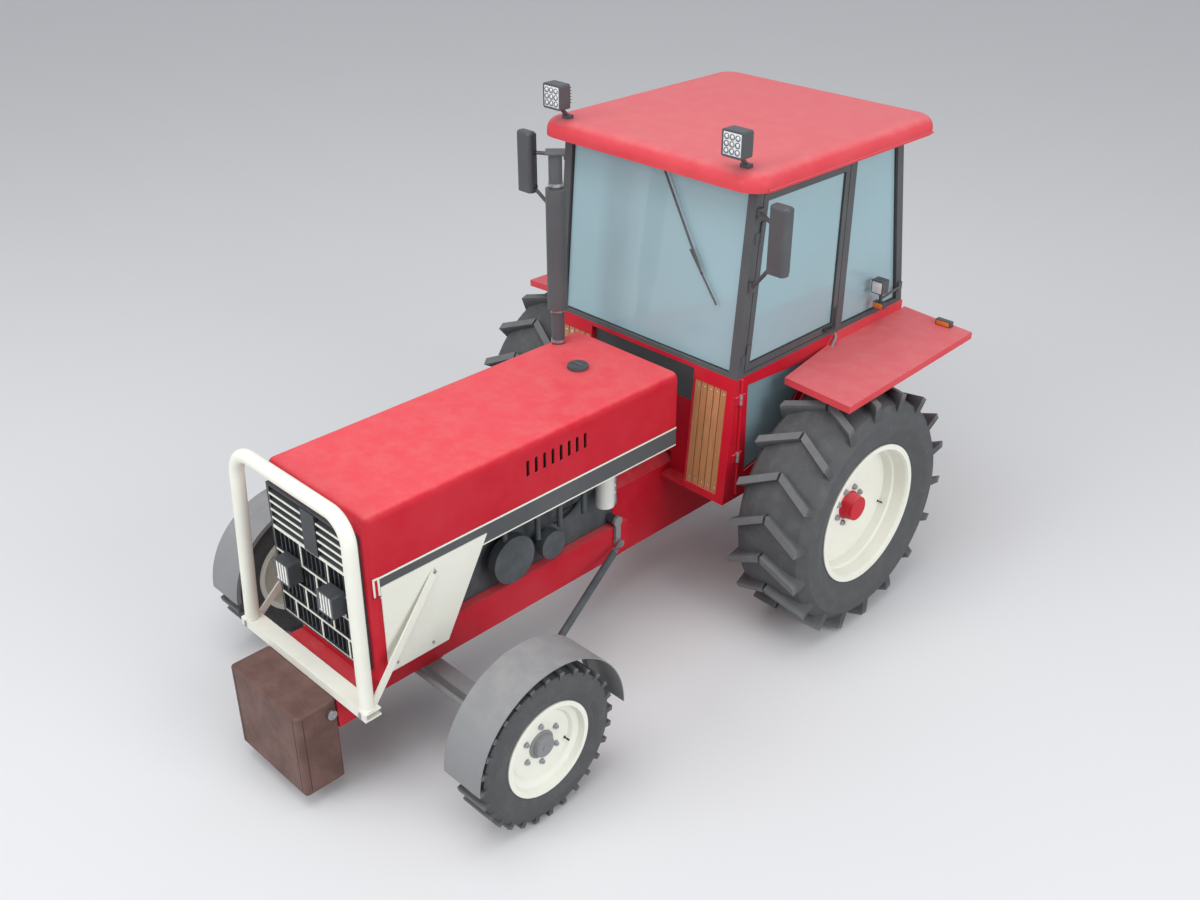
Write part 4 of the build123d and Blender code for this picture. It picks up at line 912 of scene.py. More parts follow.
@dataclass
class Studio:
    """Pale floor, soft lamps, and the camera where the photograph was taken from."""

    eye: Point = (4.9312, -4.7489, 5.0779)
    turn: float = 44.978
    rise: float = 29.758
    lens: float = 38.12
    floor_reach: float = 60.0
    floor_colour: Colour = (0.64, 0.645, 0.65)
    floor_shade: Colour = (0.625, 0.63, 0.635)
    sky_colour: tuple[float, float, float, float] = (0.93, 0.95, 1.0, 1.0)
    light_level: float = 0.66
    seen_level: float = 1.0
    lamps: tuple[tuple[str, Point, Point, float, float], ...] = (
        ("lamp_top", (1.5, -3.4, 12.0), (0, 0, 1.0), 9.0, 700.0),
        ("lamp_front", (-3.0, -14.0, 8.0), (0, -1.0, 1.2), 8.0, 830.0),
        ("lamp_side", (14.0, 1.0, 7.0), (0, 0.5, 1.2), 8.0, 880.0),
    )

    def floor(self) -> None:
        """Lay a pale matt floor."""
        graph = Graph("studio_floor")
        graph.wear("Base Color", graph.blend(self.floor_colour, self.floor_shade, graph.noise(0.6, 3.0)))
        graph.wear("Roughness", 0.85)
        mesh = bpy.data.meshes.new("floor")
        reach = self.floor_reach
        corners = [(-reach, -reach, 0), (reach, -reach, 0), (reach, reach, 0), (-reach, reach, 0)]
        mesh.from_pydata(corners, [], [(0, 1, 2, 3)])
        mesh.materials.append(graph.material)
        sheet = bpy.data.objects.new("floor", mesh)
        bpy.context.scene.collection.objects.link(sheet)

    def lamp(self, name: str, place: Point, aim: Point, size: float, power: float) -> None:
        """Hang one soft square lamp.

        Args:
            name: Its name.
            place: Where it hangs, in metres.
            aim: What it points at.
            size: Its width in metres.
            power: Its power in watts.
        """
        light = bpy.data.lights.new(name, "AREA")
        light.size = size
        light.energy = power
        holder = bpy.data.objects.new(name, light)
        holder.location = place
        holder.rotation_euler = (Vector(aim) - Vector(place)).to_track_quat("-Z", "Y").to_euler()
        bpy.context.scene.collection.objects.link(holder)

    def sky(self) -> None:
        """Light the whole scene evenly, and show white behind it."""
        world = bpy.data.worlds.new("studio")
        bpy.context.scene.world = world
        world.use_nodes = True
        nodes = world.node_tree.nodes
        ground = nodes["Background"]
        ground.inputs[0].default_value = self.sky_colour
        path = nodes.new("ShaderNodeLightPath")
        seen = nodes.new("ShaderNodeMath")
        seen.operation = "MAXIMUM"
        level = nodes.new("ShaderNodeMapRange")
        level.inputs["To Min"].default_value = self.light_level
        level.inputs["To Max"].default_value = self.seen_level
        links = world.node_tree.links
        links.new(path.outputs["Is Camera Ray"], seen.inputs[0])
        links.new(path.outputs["Is Transmission Ray"], seen.inputs[1])
        links.new(seen.outputs[0], level.inputs["Value"])
        links.new(level.outputs[0], ground.inputs[1])

    def camera(self) -> None:
        """Stand the camera where the photograph was taken from."""
        held = bpy.data.cameras.new("camera")
        held.sensor_width = 36.0
        held.lens = self.lens
        held.clip_end = 200.0
        holder = bpy.data.objects.new("camera", held)
        turn = math.radians(self.turn)
        rise = math.radians(self.rise)
        back = Vector((math.sin(turn) * math.cos(rise), -math.cos(turn) * math.cos(rise), math.sin(rise)))
        holder.location = self.eye
        holder.rotation_euler = (-back).to_track_quat("-Z", "Y").to_euler()
        bpy.context.scene.collection.objects.link(holder)
        bpy.context.scene.camera = holder

    def build(self) -> None:
        """Set up the whole studio."""
        bpy.context.scene.view_settings.view_transform = "Standard"
        self.floor()
        self.sky()
        for lamp in self.lamps:
            self.lamp(*lamp)
        self.camera()
        log.info("studio ready")


@dataclass
class Bodywork:
    """The finishes of the frame's own nodes."""

    looks: Looks
    plain: dict[str, tuple[str, ...]] = field(default_factory=lambda: {
        "red": ("frame_rails", "hood", "cab_lower", "lower_leaves", "transmission"),
        "roof_red": ("roof", "rear_fenders"),
        "cream": (
            "bull_bar", "side_panels", "rear_rim_left", "rear_rim_right", "front_rim_left", "front_rim_right",
        ),
        "dark": (
            "exhaust_stack", "side_stripes", "cab_frame", "door_left", "door_right", "seat_base", "dashboard",
            "controls",
        ),
        "pan": ("cab_floor",),
        "guard": (
            "front_axle_beam", "knuckle_left", "knuckle_right", "mudguard_left", "mudguard_right", "tie_rod",
            "drop_arm",
        ),
        "brown": ("weight_box",),
        "engine": ("engine",),
        "iron": ("radiator", "fuel_tank"),
        "steel": ("drag_link", "rear_linkage"),
        "housing": ("roof_lamps", "rear_lamps", "mirrors"),
        "clear": ("cab_glass", "door_left_glass", "door_right_glass"),
        "smoked": ("lower_glass",),
        "vinyl": ("seat_cushion", "seat_back"),
    })

    bar_deep: float = 0.010
    grille_side: float = 0.014
    grille_rim: Span = (0.012, 0.016)
    plate_half: float = 0.0625
    plate_low: float = 1.3302
    lamp_wide: float = 0.14
    lamp_rim: float = 0.01

    def tyres(self) -> None:
        """Dress the four tyres."""
        for kind, axle, carcass, tip, wall in (
            ("rear", REAR_AXLE, 0.745, 0.799, (0.50, 0.64)),
            ("front", FRONT_AXLE, 0.440, 0.463, (0.30, 0.385)),
        ):
            look = Rubber(f"{kind}_tyre_rubber", axle, carcass, tip, wall).build()
            for side in SIDES:
                dress(f"{kind}_tyre_{side}", look)

    def grille(self) -> None:
        """Dress the grille: pale bars before dark slots, and a plain dark middle plate."""
        low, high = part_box("grille")
        face = (low.y - 0.001, low.y + self.bar_deep)
        rim_low, rim_high = self.grille_rim
        boxes = (((-1.0, high.x - self.grille_side), face, (low.z + rim_low, high.z - rim_high)),)
        bare = ((-1.0, self.plate_half), (low.y - 0.001, low.y + 0.08), (self.plate_low, high.z))
        look = TwoTone("grille_two_tone", Shades.GRILLE, Shades.CREAM, boxes, bare)
        dress("grille", look.build())

    def headlamps(self) -> None:
        """Dress the headlamps: white bars in a dark housing."""
        low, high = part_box("headlamps")
        rim = self.lamp_rim
        face = (low.y + 0.0006, low.y + 0.008)
        boxes = (((high.x - self.lamp_wide + rim, high.x - rim), face, (low.z + rim, high.z - rim)),)
        dress("headlamps", TwoTone("headlamp_two_tone", Shades.LAMP, Shades.LAMP_WHITE, boxes).build())

    def build(self) -> None:
        """Dress every node."""
        for look, nodes in self.plain.items():
            for node in nodes:
                dress(node, getattr(self.looks, look))
        dress("slat_panels", Timber("slat_timber", SLAT_INNER, slat_pitch()).build())
        self.tyres()
        self.grille()
        self.headlamps()
        log.info("dressed %d nodes", len(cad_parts))


@dataclass(frozen=True)
class WheelFit:
    """What is fitted to one size of wheel: places in millimetres, bolt heads and outlines in metres."""

    kind: str
    bolt_name: str
    axle: Vector
    disc: float
    bolt_ring: float
    bolt_count: int
    bolt_across: float
    valve_ring: float
    look: str
    slot: str
    cap: Outline


@dataclass
class Wheels:
    """Hub caps, wheel bolts and valve stems, which turn with their wheels."""

    looks: Looks
    rear: WheelFit = WheelFit(
        "rear", "wheel_bolts", REAR_AXLE, 1236.0, 122.0, 8, 0.03, 372.0, "red", "paint_red",
        (
            (-0.002, 0), (-0.002, 0.095), (0.007, 0.095), (0.010, 0.092), (0.011, 0.087), (0.013, 0.086),
            (0.05, 0.084), (0.053, 0.081), (0.066, 0.0805), (0.0765, 0.079), (0.0785, 0.076), (0.0785, 0.03),
            (0.078, 0.029), (0.078, 0),
        ),
    )
    front: WheelFit = WheelFit(
        "front", "wheel_studs", FRONT_AXLE, 1188.0, 118.0, 6, 0.026, 178.0, "guard", "paint_guard",
        (
            (-0.002, 0), (-0.002, 0.082), (0.005, 0.082), (0.008, 0.078), (0.01, 0.066), (0.03, 0.0625),
            (0.037, 0.06), (0.04, 0.055), (0.04, 0.022), (0.044, 0.02), (0.044, 0),
        ),
    )
    valve_angle: float = 200.0
    valve_stem: Outline = (
        (-0.004, 0), (-0.004, 0.009), (0.003, 0.008), (0.006, 0.0045), (0.022, 0.004), (0.022, 0),
    )
    valve_cap: Outline = ((0.02, 0), (0.02, 0.0056), (0.034, 0.0056), (0.036, 0.004), (0.036, 0))

    def on_disc(self, axle: Vector, x: float, ring: float, degrees: float) -> Vector:
        """Give a place on a wheel's face.

        Args:
            axle: The wheel's middle.
            x: Millimetres from the tractor's middle.
            ring: Millimetres from the axle's line.
            degrees: The angle up from straight ahead.

        Returns:
            The place.
        """
        angle = math.radians(degrees)
        return Vector((x * MM, axle.y - ring * MM * math.cos(angle), axle.z + ring * MM * math.sin(angle)))

    def fit(self, wheel: WheelFit, side: str, sign: int) -> None:
        """Fit one wheel with its cap, bolts and valve.

        Args:
            wheel: The wheel's size and fittings.
            side: The side's name.
            sign: 1 on the left and -1 on the right.
        """
        out = Vector((sign, 0, 0))
        body = f"{wheel.kind}_wheel_{side}"
        x = sign * wheel.disc
        look = getattr(self.looks, wheel.look)
        cap = Shape()
        cap.lathe(wheel.cap, self.on_disc(wheel.axle, x, 0, 0), out, 64)
        cap.finish(f"{wheel.kind}_hub_cap_{side}", look, body, wheel.slot, Edge.CRISP)
        heads = Shape()
        for step in range(wheel.bolt_count):
            degrees = (180 + step * 360) / wheel.bolt_count
            heads.bolt(self.on_disc(wheel.axle, x, wheel.bolt_ring, degrees), out, wheel.bolt_across)
        name = f"{wheel.kind}_{wheel.bolt_name}_{side}"
        heads.finish(name, self.looks.steel, body, "steel_bright", Edge.CRISP)
        at = self.on_disc(wheel.axle, x, wheel.valve_ring, self.valve_angle)
        stem = Shape()
        stem.lathe(self.valve_stem, at, out, 20)
        stem.lathe(self.valve_cap, at, out, 12)
        stem.finish(f"{wheel.kind}_valve_{side}", self.looks.seal, body, "lamp_black")

    def build(self) -> None:
        """Make the fittings of all four wheels."""
        for side, sign in SIDES.items():
            self.fit(self.rear, side, sign)
            self.fit(self.front, side, sign)
        log.info("wheel fittings ready")


@dataclass
class HoodTrim:
    """Cream mouldings round the side stripes, panel screws and the fuel cap's grip.

    Places are in millimetres, and the grip's own sizes and the bolt heads are in metres.
    """

    looks: Looks
    skin: Span = (445.0, 448.5)
    reach: Span = (765.0, 3000.0)
    heights: tuple[Span, ...] = ((1337.0, 1348.0), (1219.0, 1227.0))
    nose_skin: Span = (441.0, 447.0)
    nose_strips: tuple[tuple[float, float, float, float], ...] = (
        (2996, 1237, 3008, 1348), (3008, 1337, 3036, 1348), (3026, 1237, 3036, 1342),
    )
    seam: tuple[Point, Point] = ((441, 3006, 1232), (445, 3049, 1235.5))
    screws: tuple[Point, ...] = ((451.5, 2700, 778), (451.5, 2940, 778))
    screw_across: float = 0.013
    stay_bolt: Point = (457, 2664, 1226)
    stay_across: float = 0.02
    cap_top: Point = (-30, 1135, 1711)
    cap_ring: Outline = ((0, 0.0485), (0, 0.055), (0.0035, 0.055), (0.0035, 0.0485))
    ridges: int = 20
    ridge_ring: float = 0.0622
    ridge_heights: Span = (0.003, 0.021)
    ridge_radius: float = 0.0032
    cap_bar: tuple[Point, Point] = ((-0.046, -0.008, 0.022), (0.046, 0.008, 0.0325))

    def mouldings(self) -> None:
        """Lay the cream mouldings along both stripes, with the turn-down at the nose."""
        strips = Shape()
        seams = Shape()
        for sign in SIDES.values():
            for low, high in self.heights:
                near = spot(sign * self.skin[0], self.reach[0], low)
                strips.strip(near, spot(sign * self.skin[1], self.reach[1], high))
            for back, low, front, high in self.nose_strips:
                near = spot(sign * self.nose_skin[0], back, low)
                strips.strip(near, spot(sign * self.nose_skin[1], front, high))
            seams.strip(beside(sign, self.seam[0]), beside(sign, self.seam[1]))
        strips.finish("stripe_mouldings", self.looks.cream, ROOT, "paint_cream", Edge.CRISP)
        seams.finish("nose_seams", self.looks.seal, ROOT, "lamp_black", Edge.CRISP)

    def panel_screws(self) -> None:
        """Set the screws of the side panels, and the bolt that holds each bull bar stay."""
        heads = Shape()
        for sign in SIDES.values():
            out = Vector((sign, 0, 0))
            for place in self.screws:
                heads.bolt(beside(sign, place), out, self.screw_across)
            heads.bolt(beside(sign, self.stay_bolt), out, self.stay_across)
        heads.finish("panel_screws", self.looks.steel, ROOT, "steel_bright", Edge.CRISP)

    def filler(self) -> None:
        """Give the fuel cap a ridged rim, a ring and a flat bar across it."""
        grip = Shape()
        middle = spot(*self.cap_top)
        grip.lathe(self.cap_ring, middle, UP, 48)
        for step in range(self.ridges):
            angle = math.tau * step / self.ridges
            foot = middle + Vector((math.cos(angle), math.sin(angle), 0)) * self.ridge_ring
            low, high = self.ridge_heights
            grip.rod(foot + UP * low, foot + UP * high, self.ridge_radius, 0.001, 8)
        grip.strip(middle + Vector(self.cap_bar[0]), middle + Vector(self.cap_bar[1]))
        grip.finish("fuel_cap_grip", self.looks.dark, ROOT, "paint_dark", Edge.CRISP)

    def build(self) -> None:
        """Make all of it."""
        self.mouldings()
        self.panel_screws()
        self.filler()
        log.info("hood trim ready")


@dataclass
class FrontEnd:
    """Bolts and weld beads on the bull bar, and the ballast box's folds and pin caps.

    Places are in millimetres, and the small outlines are in metres.
    """

    looks: Looks
    bar_foot: tuple[float, float] = (545.0, 3215.0)
    bar_bolt_heights: Span = (655, 676)
    bar_bolt_ahead: float = 40.0
    bar_bolt_across: float = 0.018
    weld_z: float = 691.0
    weld: Outline = ((0, 0.0395), (0, 0.0425), (0.003, 0.0445), (0.006, 0.0425), (0.006, 0.0395))
    fold_x: float = 283.0
    fold_depth: Span = (3506.5, 3503.0)
    side_fold: tuple[float, float] = (320.0, 3468.0)
    fold_half: float = 1.8
    fold_heights: Span = (122.0, 617.0)
    pin: Point = (342, 3300, 565)
    pin_cap: Outline = (
        (-0.006, 0), (-0.006, 0.028), (0.002, 0.028), (0.004, 0.026), (0.004, 0.010), (0.002, 0.008),
        (0.002, 0),
    )

    def bar(self) -> None:
        """Bolt the bull bar to its channel, and run a weld round each foot."""
        bolts = Shape()
        beads = Shape()
        for sign in SIDES.values():
            x, ahead = self.bar_foot
            for z in self.bar_bolt_heights:
                bolts.bolt(spot(sign * x, ahead + self.bar_bolt_ahead, z), FORWARD, self.bar_bolt_across)
            beads.lathe(self.weld, spot(sign * x, ahead, self.weld_z), UP, 40)
        bolts.finish("bull_bar_bolts", self.looks.steel, ROOT, "steel_bright", Edge.CRISP)
        beads.finish("bull_bar_welds", self.looks.cream, ROOT, "paint_cream", Edge.ROUND)

    def ballast(self) -> None:
        """Cap the ballast box's pin, and lay the folds beside its front corners."""
        folds = Shape()
        caps = Shape()
        low, high = self.fold_heights
        half = self.fold_half
        for sign in SIDES.values():
            x = sign * self.fold_x
            near, far = self.fold_depth
            folds.strip(spot(x - half, near, low), spot(x + half, far, high), FOLD_EDGE)
            x, ahead = sign * self.side_fold[0], self.side_fold[1]
            folds.strip(spot(x - half, ahead + half, low), spot(x + half, ahead - half, high), FOLD_EDGE)
            caps.lathe(self.pin_cap, beside(sign, self.pin), Vector((sign, 0, 0)), 40)
        folds.finish("ballast_folds", self.looks.seal, ROOT, "lamp_black", Edge.CRISP)
        caps.finish("ballast_pin_caps", self.looks.steel, ROOT, "steel_bright", Edge.CRISP)

    def build(self) -> None:
        """Make all of it."""
        self.bar()
        self.ballast()
        log.info("front end fittings ready")


@dataclass
class DragLink:
    """The drag link's thick dark tube over its rod, with a lock nut at each ball."""

    looks: Looks
    upper: Point = (340.0, 1139.0, 622.0)
    lower: Point = (859.0, 2624.0, 315.0)
    radius: float = 0.023
    bare: float = 0.09
    nut: Outline = ((0.062, 0), (0.062, 0.021), (0.088, 0.021), (0.091, 0.019), (0.091, 0))

    def build(self) -> None:
        """Make the tube and its ends."""
        start = spot(*self.upper)
        end = spot(*self.lower)
        run = (end - start).normalized()
        tube = Shape()
        tube.rod(start + run * self.bare, end - run * self.bare, self.radius, 0.003, 32)
        tube.finish("drag_link_tube", self.looks.iron, "drag_link", "engine_grey", Edge.CRISP)
        nuts = Shape()
        for place, way in ((start, run), (end, -run)):
            nuts.lathe(self.nut, place, way, 6)
        nuts.finish("drag_link_nuts", self.looks.steel, "drag_link", "steel_bright", Edge.CRISP)
        log.info("drag link ready")


@dataclass
class EngineBay:
    """Pipes, hoses and clamps in the open bay behind the front panels: places in millimetres."""

    looks: Looks
    pipe: Route = (
        (330, 1188, 1225), (330, 1188, 1130), (330, 1188, 1000), (330, 1180, 940), (290, 1150, 900),
        (240, 1130, 896),
    )
    thin_pipe: Route = (
        (300, 1330, 1215), (318, 1330, 1180), (300, 1420, 1150), (262, 1470, 1120), (240, 1500, 1110),
    )
    hose: Route = ((282, 1300, 1195), (312, 1310, 1150), (322, 1380, 1090), (300, 1480, 0), (262, 1560, -30))
    hose_steps: tuple[tuple[float, float], ...] = ((0, 1040), (34, 1010), (66, 985))
    water_hose: Route = ((235, 2300, 1200), (292, 2280, 1170), (300, 2200, 1120), (262, 2120, 1090))
    clamp_heights: Span = (1070, 1020)

    def build(self) -> None:
        """Make the bay's fittings."""
        pipes = Shape()
        pipes.tube([spot(*place) for place in self.pipe], 0.017, 16)
        pipes.tube([spot(*place) for place in self.thin_pipe], 0.009)
        pipes.finish("breather_pipe", self.looks.steel, ROOT, "engine_grey", Edge.ROUND)
        hoses = Shape()
        for shift, low in self.hose_steps:
            held = [spot(x, ahead + shift, z) for x, ahead, z in self.hose[:3]]
            hoses.tube(held + [spot(x, ahead + shift, z + low) for x, ahead, z in self.hose[3:]], 0.0075)
        hoses.tube([spot(*place) for place in self.water_hose], 0.024, 16)
        hoses.finish("engine_hoses", self.looks.seal, ROOT, "lamp_black", Edge.ROUND)
        clamps = Shape()
        x, ahead = self.pipe[0][:2]
        for z in self.clamp_heights:
            clamps.rod(spot(x, ahead, z - 8), spot(x, ahead, z + 8), 0.0195, 0.001)
        clamps.finish("pipe_clamps", self.looks.bright, ROOT, "steel_bright", Edge.CRISP)
        log.info("engine bay ready")


@dataclass
class CabTrim:
    """Window seals, door handles, grab rods, hinges, slat screws, roof gutter and exhaust clamps.

    Places are in millimetres. Radii, outlines and areas are in metres.
    """

    looks: Looks
    bead: float = 0.0052
    bead_in: float = 0.004
    bead_out: float = 0.002
    least_pane: float = 0.02
    cab_middle_y: float = 1.42
    handle_plate: tuple[Point, Point] = ((763, -322, 1757), (770, -232, 1785))
    handle_route: Route = (
        (768, -312, 1771), (787, -312, 1771), (789, -290, 1771), (789, -255, 1771), (768, -244, 1771),
    )
    button_at: Point = (769, -240, 1779)
    button: Outline = ((0, 0.008), (0.012, 0.008), (0.014, 0.006), (0.014, 0))
    grab_route: Route = (
        (778, -352, 1716), (800, -346, 1706), (801, -300, 1655), (800, -248, 1598), (778, -238, 1590),
    )
    hinge_at: tuple[float, float] = (776.0, 566.0)
    hinge_heights: Span = (1187, 1581)
    screw_in: float = 0.035
    screw: Outline = ((-0.004, 0), (-0.004, 0.007), (0.001, 0.007), (0.003, 0.0045), (0.0036, 0))
    slat_lean: float = 0.08
    gutter_up: float = 0.012
    gutter_in: float = 0.1
    stack_at: tuple[float, float] = (-380.0, 965.0)
    clamp_heights: tuple[float, ...] = (1722, 1925, 2722)
    clamp: Outline = ((0, 0.0405), (0, 0.0445), (0.018, 0.0445), (0.018, 0.0405))

    def panes(self, node: str) -> list[tuple[list[Vector], Vector]]:
        """Find the outlines of a node's panes.

        Args:
            node: The glass node.

        Returns:
            Each pane's outer outline, and the way it faces.
        """
        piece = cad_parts[node]
        work = bmesh.new()
        work.from_mesh(piece.data)
        work.transform(piece.matrix_world)
        bmesh.ops.remove_doubles(work, verts=work.verts, dist=1e-5)
        bmesh.ops.dissolve_limit(work, angle_limit=math.radians(1), verts=work.verts, edges=work.edges)
        found = []
        for face in work.faces:
            centre = face.calc_center_median()
            outward = centre - Vector((0, self.cab_middle_y, centre.z))
            if face.calc_area() > self.least_pane and face.normal.dot(outward) > 0:
                found.append(([corner.co.copy() for corner in face.verts], face.normal.copy()))
        work.free()
        return found

    def seals(self) -> None:
        """Run a rubber bead round the outside of every pane."""
        for node, body in (
            ("cab_glass", ROOT), ("lower_glass", ROOT), ("door_left_glass", "door_left"),
            ("door_right_glass", "door_right"),
        ):
            beads = Shape()
            for corners, facing in self.panes(node):
                centre = sum(corners, Vector()) / len(corners)
                stand = facing * self.bead_out
                line = []
                for corner in corners:
                    line.append(corner + (centre - corner).normalized() * self.bead_in + stand)
                beads.ring(line, self.bead)
            beads.finish(f"{node}_seal", self.looks.seal, body, "lamp_black", Edge.ROUND)

    def handles(self) -> None:
        """Give each door leaf a pull handle with its plate and button."""
        for side, sign in SIDES.items():
            handle = Shape()
            handle.strip(beside(sign, self.handle_plate[0]), beside(sign, self.handle_plate[1]), 0.002)
            handle.tube([beside(sign, place) for place in self.handle_route], 0.006)
            handle.lathe(self.button, beside(sign, self.button_at), Vector((sign, 0, 0)), 20)
            handle.finish(f"door_handle_{side}", self.looks.black, f"door_{side}", "lamp_black")

    def rods(self) -> None:
        """Set the grab rod and the hinge knuckles of each lower leaf."""
        rods = Shape()
        knuckles = Shape()
        x, ahead = self.hinge_at
        for sign in SIDES.values():
            rods.tube([beside(sign, place) for place in self.grab_route], 0.009)
            for z in self.hinge_heights:
                for low, high in ((-34, -2), (2, 34)):
                    foot = spot(sign * x, ahead, z + low)
                    knuckles.rod(foot, spot(sign * x, ahead, z + high), 0.0115, 0.001)
                knuckles.rod(spot(sign * x, ahead, z - 37), spot(sign * x, ahead, z + 37), 0.006)
        rods.finish("grab_rods", self.looks.guard, ROOT, "paint_guard", Edge.ROUND)
        knuckles.finish("leaf_hinges", self.looks.guard, ROOT, "paint_guard", Edge.CRISP)

    def slat_screws(self) -> None:
        """Set round-headed screws at both ends of every slat."""
        low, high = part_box("slat_panels")
        screws = Shape()
        pitch = slat_pitch()
        for sign in SIDES.values():
            for step in range(SLAT_COUNT):
                x = SLAT_INNER + pitch * (step + 0.5) - SLAT_GAP / 2
                for z in (low.z + self.screw_in, high.z - self.screw_in):
                    share = (z - low.z) / (high.z - low.z)
                    y = low.y + share * (high.y - low.y - SLAT_THICK)
                    screws.lathe(self.screw, Vector((sign * x, y, z)), Vector((0, -1, self.slat_lean)), 16)
        screws.finish("slat_screws", self.looks.bright, ROOT, "steel_bright")

    def roof(self) -> None:
        """Run a thin gutter under the roof's side edges."""
        low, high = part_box("roof")
        gutter = Shape()
        z = low.z + self.gutter_up
        for sign in (-1, 1):
            x = high.x * sign
            ends = [Vector((x, low.y + self.gutter_in, z)), Vector((x, high.y - self.gutter_in, z))]
            gutter.tube(ends, 0.0055, 8)
        gutter.finish("roof_gutter", self.looks.roof_red, ROOT, "paint_roof", Edge.ROUND)

    def stack(self) -> None:
        """Clamp the exhaust above and below its muffler."""
        clamps = Shape()
        x, ahead = self.stack_at
        for z in self.clamp_heights:
            clamps.lathe(self.clamp, spot(x, ahead, z), UP, 40)
            clamps.rod(spot(x - 8, ahead + 50, z + 9), spot(x + 22, ahead + 50, z + 9), 0.0045, 0.0005, 12)
            clamps.box(spot(x - 4, ahead + 58, z + 2), spot(x + 4, ahead + 40, z + 16), 0.001)
        clamps.finish("exhaust_clamps", self.looks.steel, ROOT, "steel_bright", Edge.CRISP)

    def build(self) -> None:
        """Make all of it."""
        self.seals()
        self.handles()
        self.rods()
        self.slat_screws()
        self.roof()
        self.stack()
        log.info("cab trim ready")


@dataclass
class Lamps:
    """Lenses, domes, bezels and cooling fins of every lamp but the headlamps' own bars.

    Each lens is (look, x, ahead, z) of its middle and its half sizes, in millimetres.
    """

    looks: Looks
    roof_lamp: Point = (704.0, 684.0, 3131.0)
    lens_half: Point = (62, 3.0, 62)
    dome_pitch: float = 39.0
    bezel: Outline = ((0, 0.0165), (0.0045, 0.0165), (0.0045, 0.0145), (0.001, 0.0125))
    dome: Outline = ((0, 0.0125), (0.003, 0.0115), (0.0055, 0.0085), (0.007, 0.004), (0.0074, 0))
    fins: int = 6
    fin_first: Point = (704.0, 592.0, 3086.0)
    fin_pitch: float = 18.0
    fin_half: Point = (56, 22, 2.2)
    lenses: tuple[tuple[str, Point, Point], ...] = (
        ("pale", (830, -699, 1945), (35, 3.2, 38)),
        ("dark", (830, -698, 1989), (43, 6, 3)),
        ("amber", (830, -728.5, 1810), (35, 3.4, 17)),
        ("amber", (830, -776.5, 1810), (35, 3.4, 17)),
        ("amber", (1104, -1102, 1674), (24, 3.6, 15)),
        ("red", (1156, -1102, 1674), (24, 3.6, 15)),
        ("amber", (1130, -1058.5, 1674), (46, 3.0, 14)),
    )

    def plate(self, shape: Shape, middle: Vector, half_sizes: Point) -> None:
        """Add a rounded plate by its middle and its half sizes in millimetres."""
        half = Vector(half_sizes) * MM
        shape.box(middle - half, middle + half, min(half_sizes) * MM * 0.6)

    def build(self) -> None:
        """Make all of them."""
        shapes = {kind: Shape() for kind in ("pale", "amber", "red", "dark")}
        x, front, middle = self.roof_lamp
        for sign in SIDES.values():
            self.plate(shapes["pale"], spot(sign * x, front - 1.5, middle), self.lens_half)
            for across in (-1, 0, 1):
                for up in (-1, 0, 1):
                    at = spot(sign * x + across * self.dome_pitch, front, middle + up * self.dome_pitch)
                    shapes["dark"].lathe(self.bezel, at, FORWARD, 24)
                    shapes["pale"].lathe(self.dome, at, FORWARD, 20)
            for step in range(self.fins):
                lift = Vector((0, 0, step * self.fin_pitch * MM))
                self.plate(shapes["dark"], beside(sign, self.fin_first) + lift, self.fin_half)
            for kind, place, half_sizes in self.lenses:
                self.plate(shapes[kind], beside(sign, place), half_sizes)
        shapes["pale"].finish("lamp_lenses", self.looks.pale_lens, ROOT, "lamp_black")
        shapes["amber"].finish("flasher_lenses", self.looks.amber_lens, ROOT, "lamp_black")
        shapes["red"].finish("tail_lenses", self.looks.red_lens, ROOT, "lamp_black")
        shapes["dark"].finish("lamp_bezels", self.looks.housing, ROOT, "lamp_black", Edge.CRISP)
        log.info("lamps ready")


@dataclass
class MirrorTrim:
    """The reflecting glass at the back of each mirror, its rubber rim and clamps, in millimetres."""

    looks: Looks
    middle: tuple[float, float] = (1015.0, 620.0)
    reach: Span = (2478.0, 2836.0)
    half: float = 50.0
    faces: Span = (34.0, 37.5)
    rim_back: float = 36.0
    clamp_heights: Span = (2500, 2720)

    def build(self) -> None:
        """Make both mirrors' trim."""
        glass = Shape()
        rim = Shape()
        x, ahead = self.middle
        bottom, top = self.reach
        for sign in SIDES.values():
            low = spot(sign * x - self.half, ahead - self.faces[0], bottom)
            glass.box(low, spot(sign * x + self.half, ahead - self.faces[1], top), 0.0012)
            left, right = sign * x - self.half - 1, sign * x + self.half + 1
            corners = ((left, bottom - 1), (right, bottom - 1), (right, top + 1), (left, top + 1))
            rim.ring([spot(across, ahead - self.rim_back, z) for across, z in corners], 0.003)
            for z in self.clamp_heights:
                inner = spot(sign * (x - 70), ahead - 12, z)
                rim.rod(inner, spot(sign * (x - 52), ahead - 12, z), 0.016, 0.002)
        glass.finish("mirror_plates", self.looks.mirror, ROOT, "mirror_black", Edge.CRISP)
        rim.finish("mirror_rims", self.looks.seal, ROOT, "mirror_black", Edge.SOFT)
        log.info("mirrors ready")


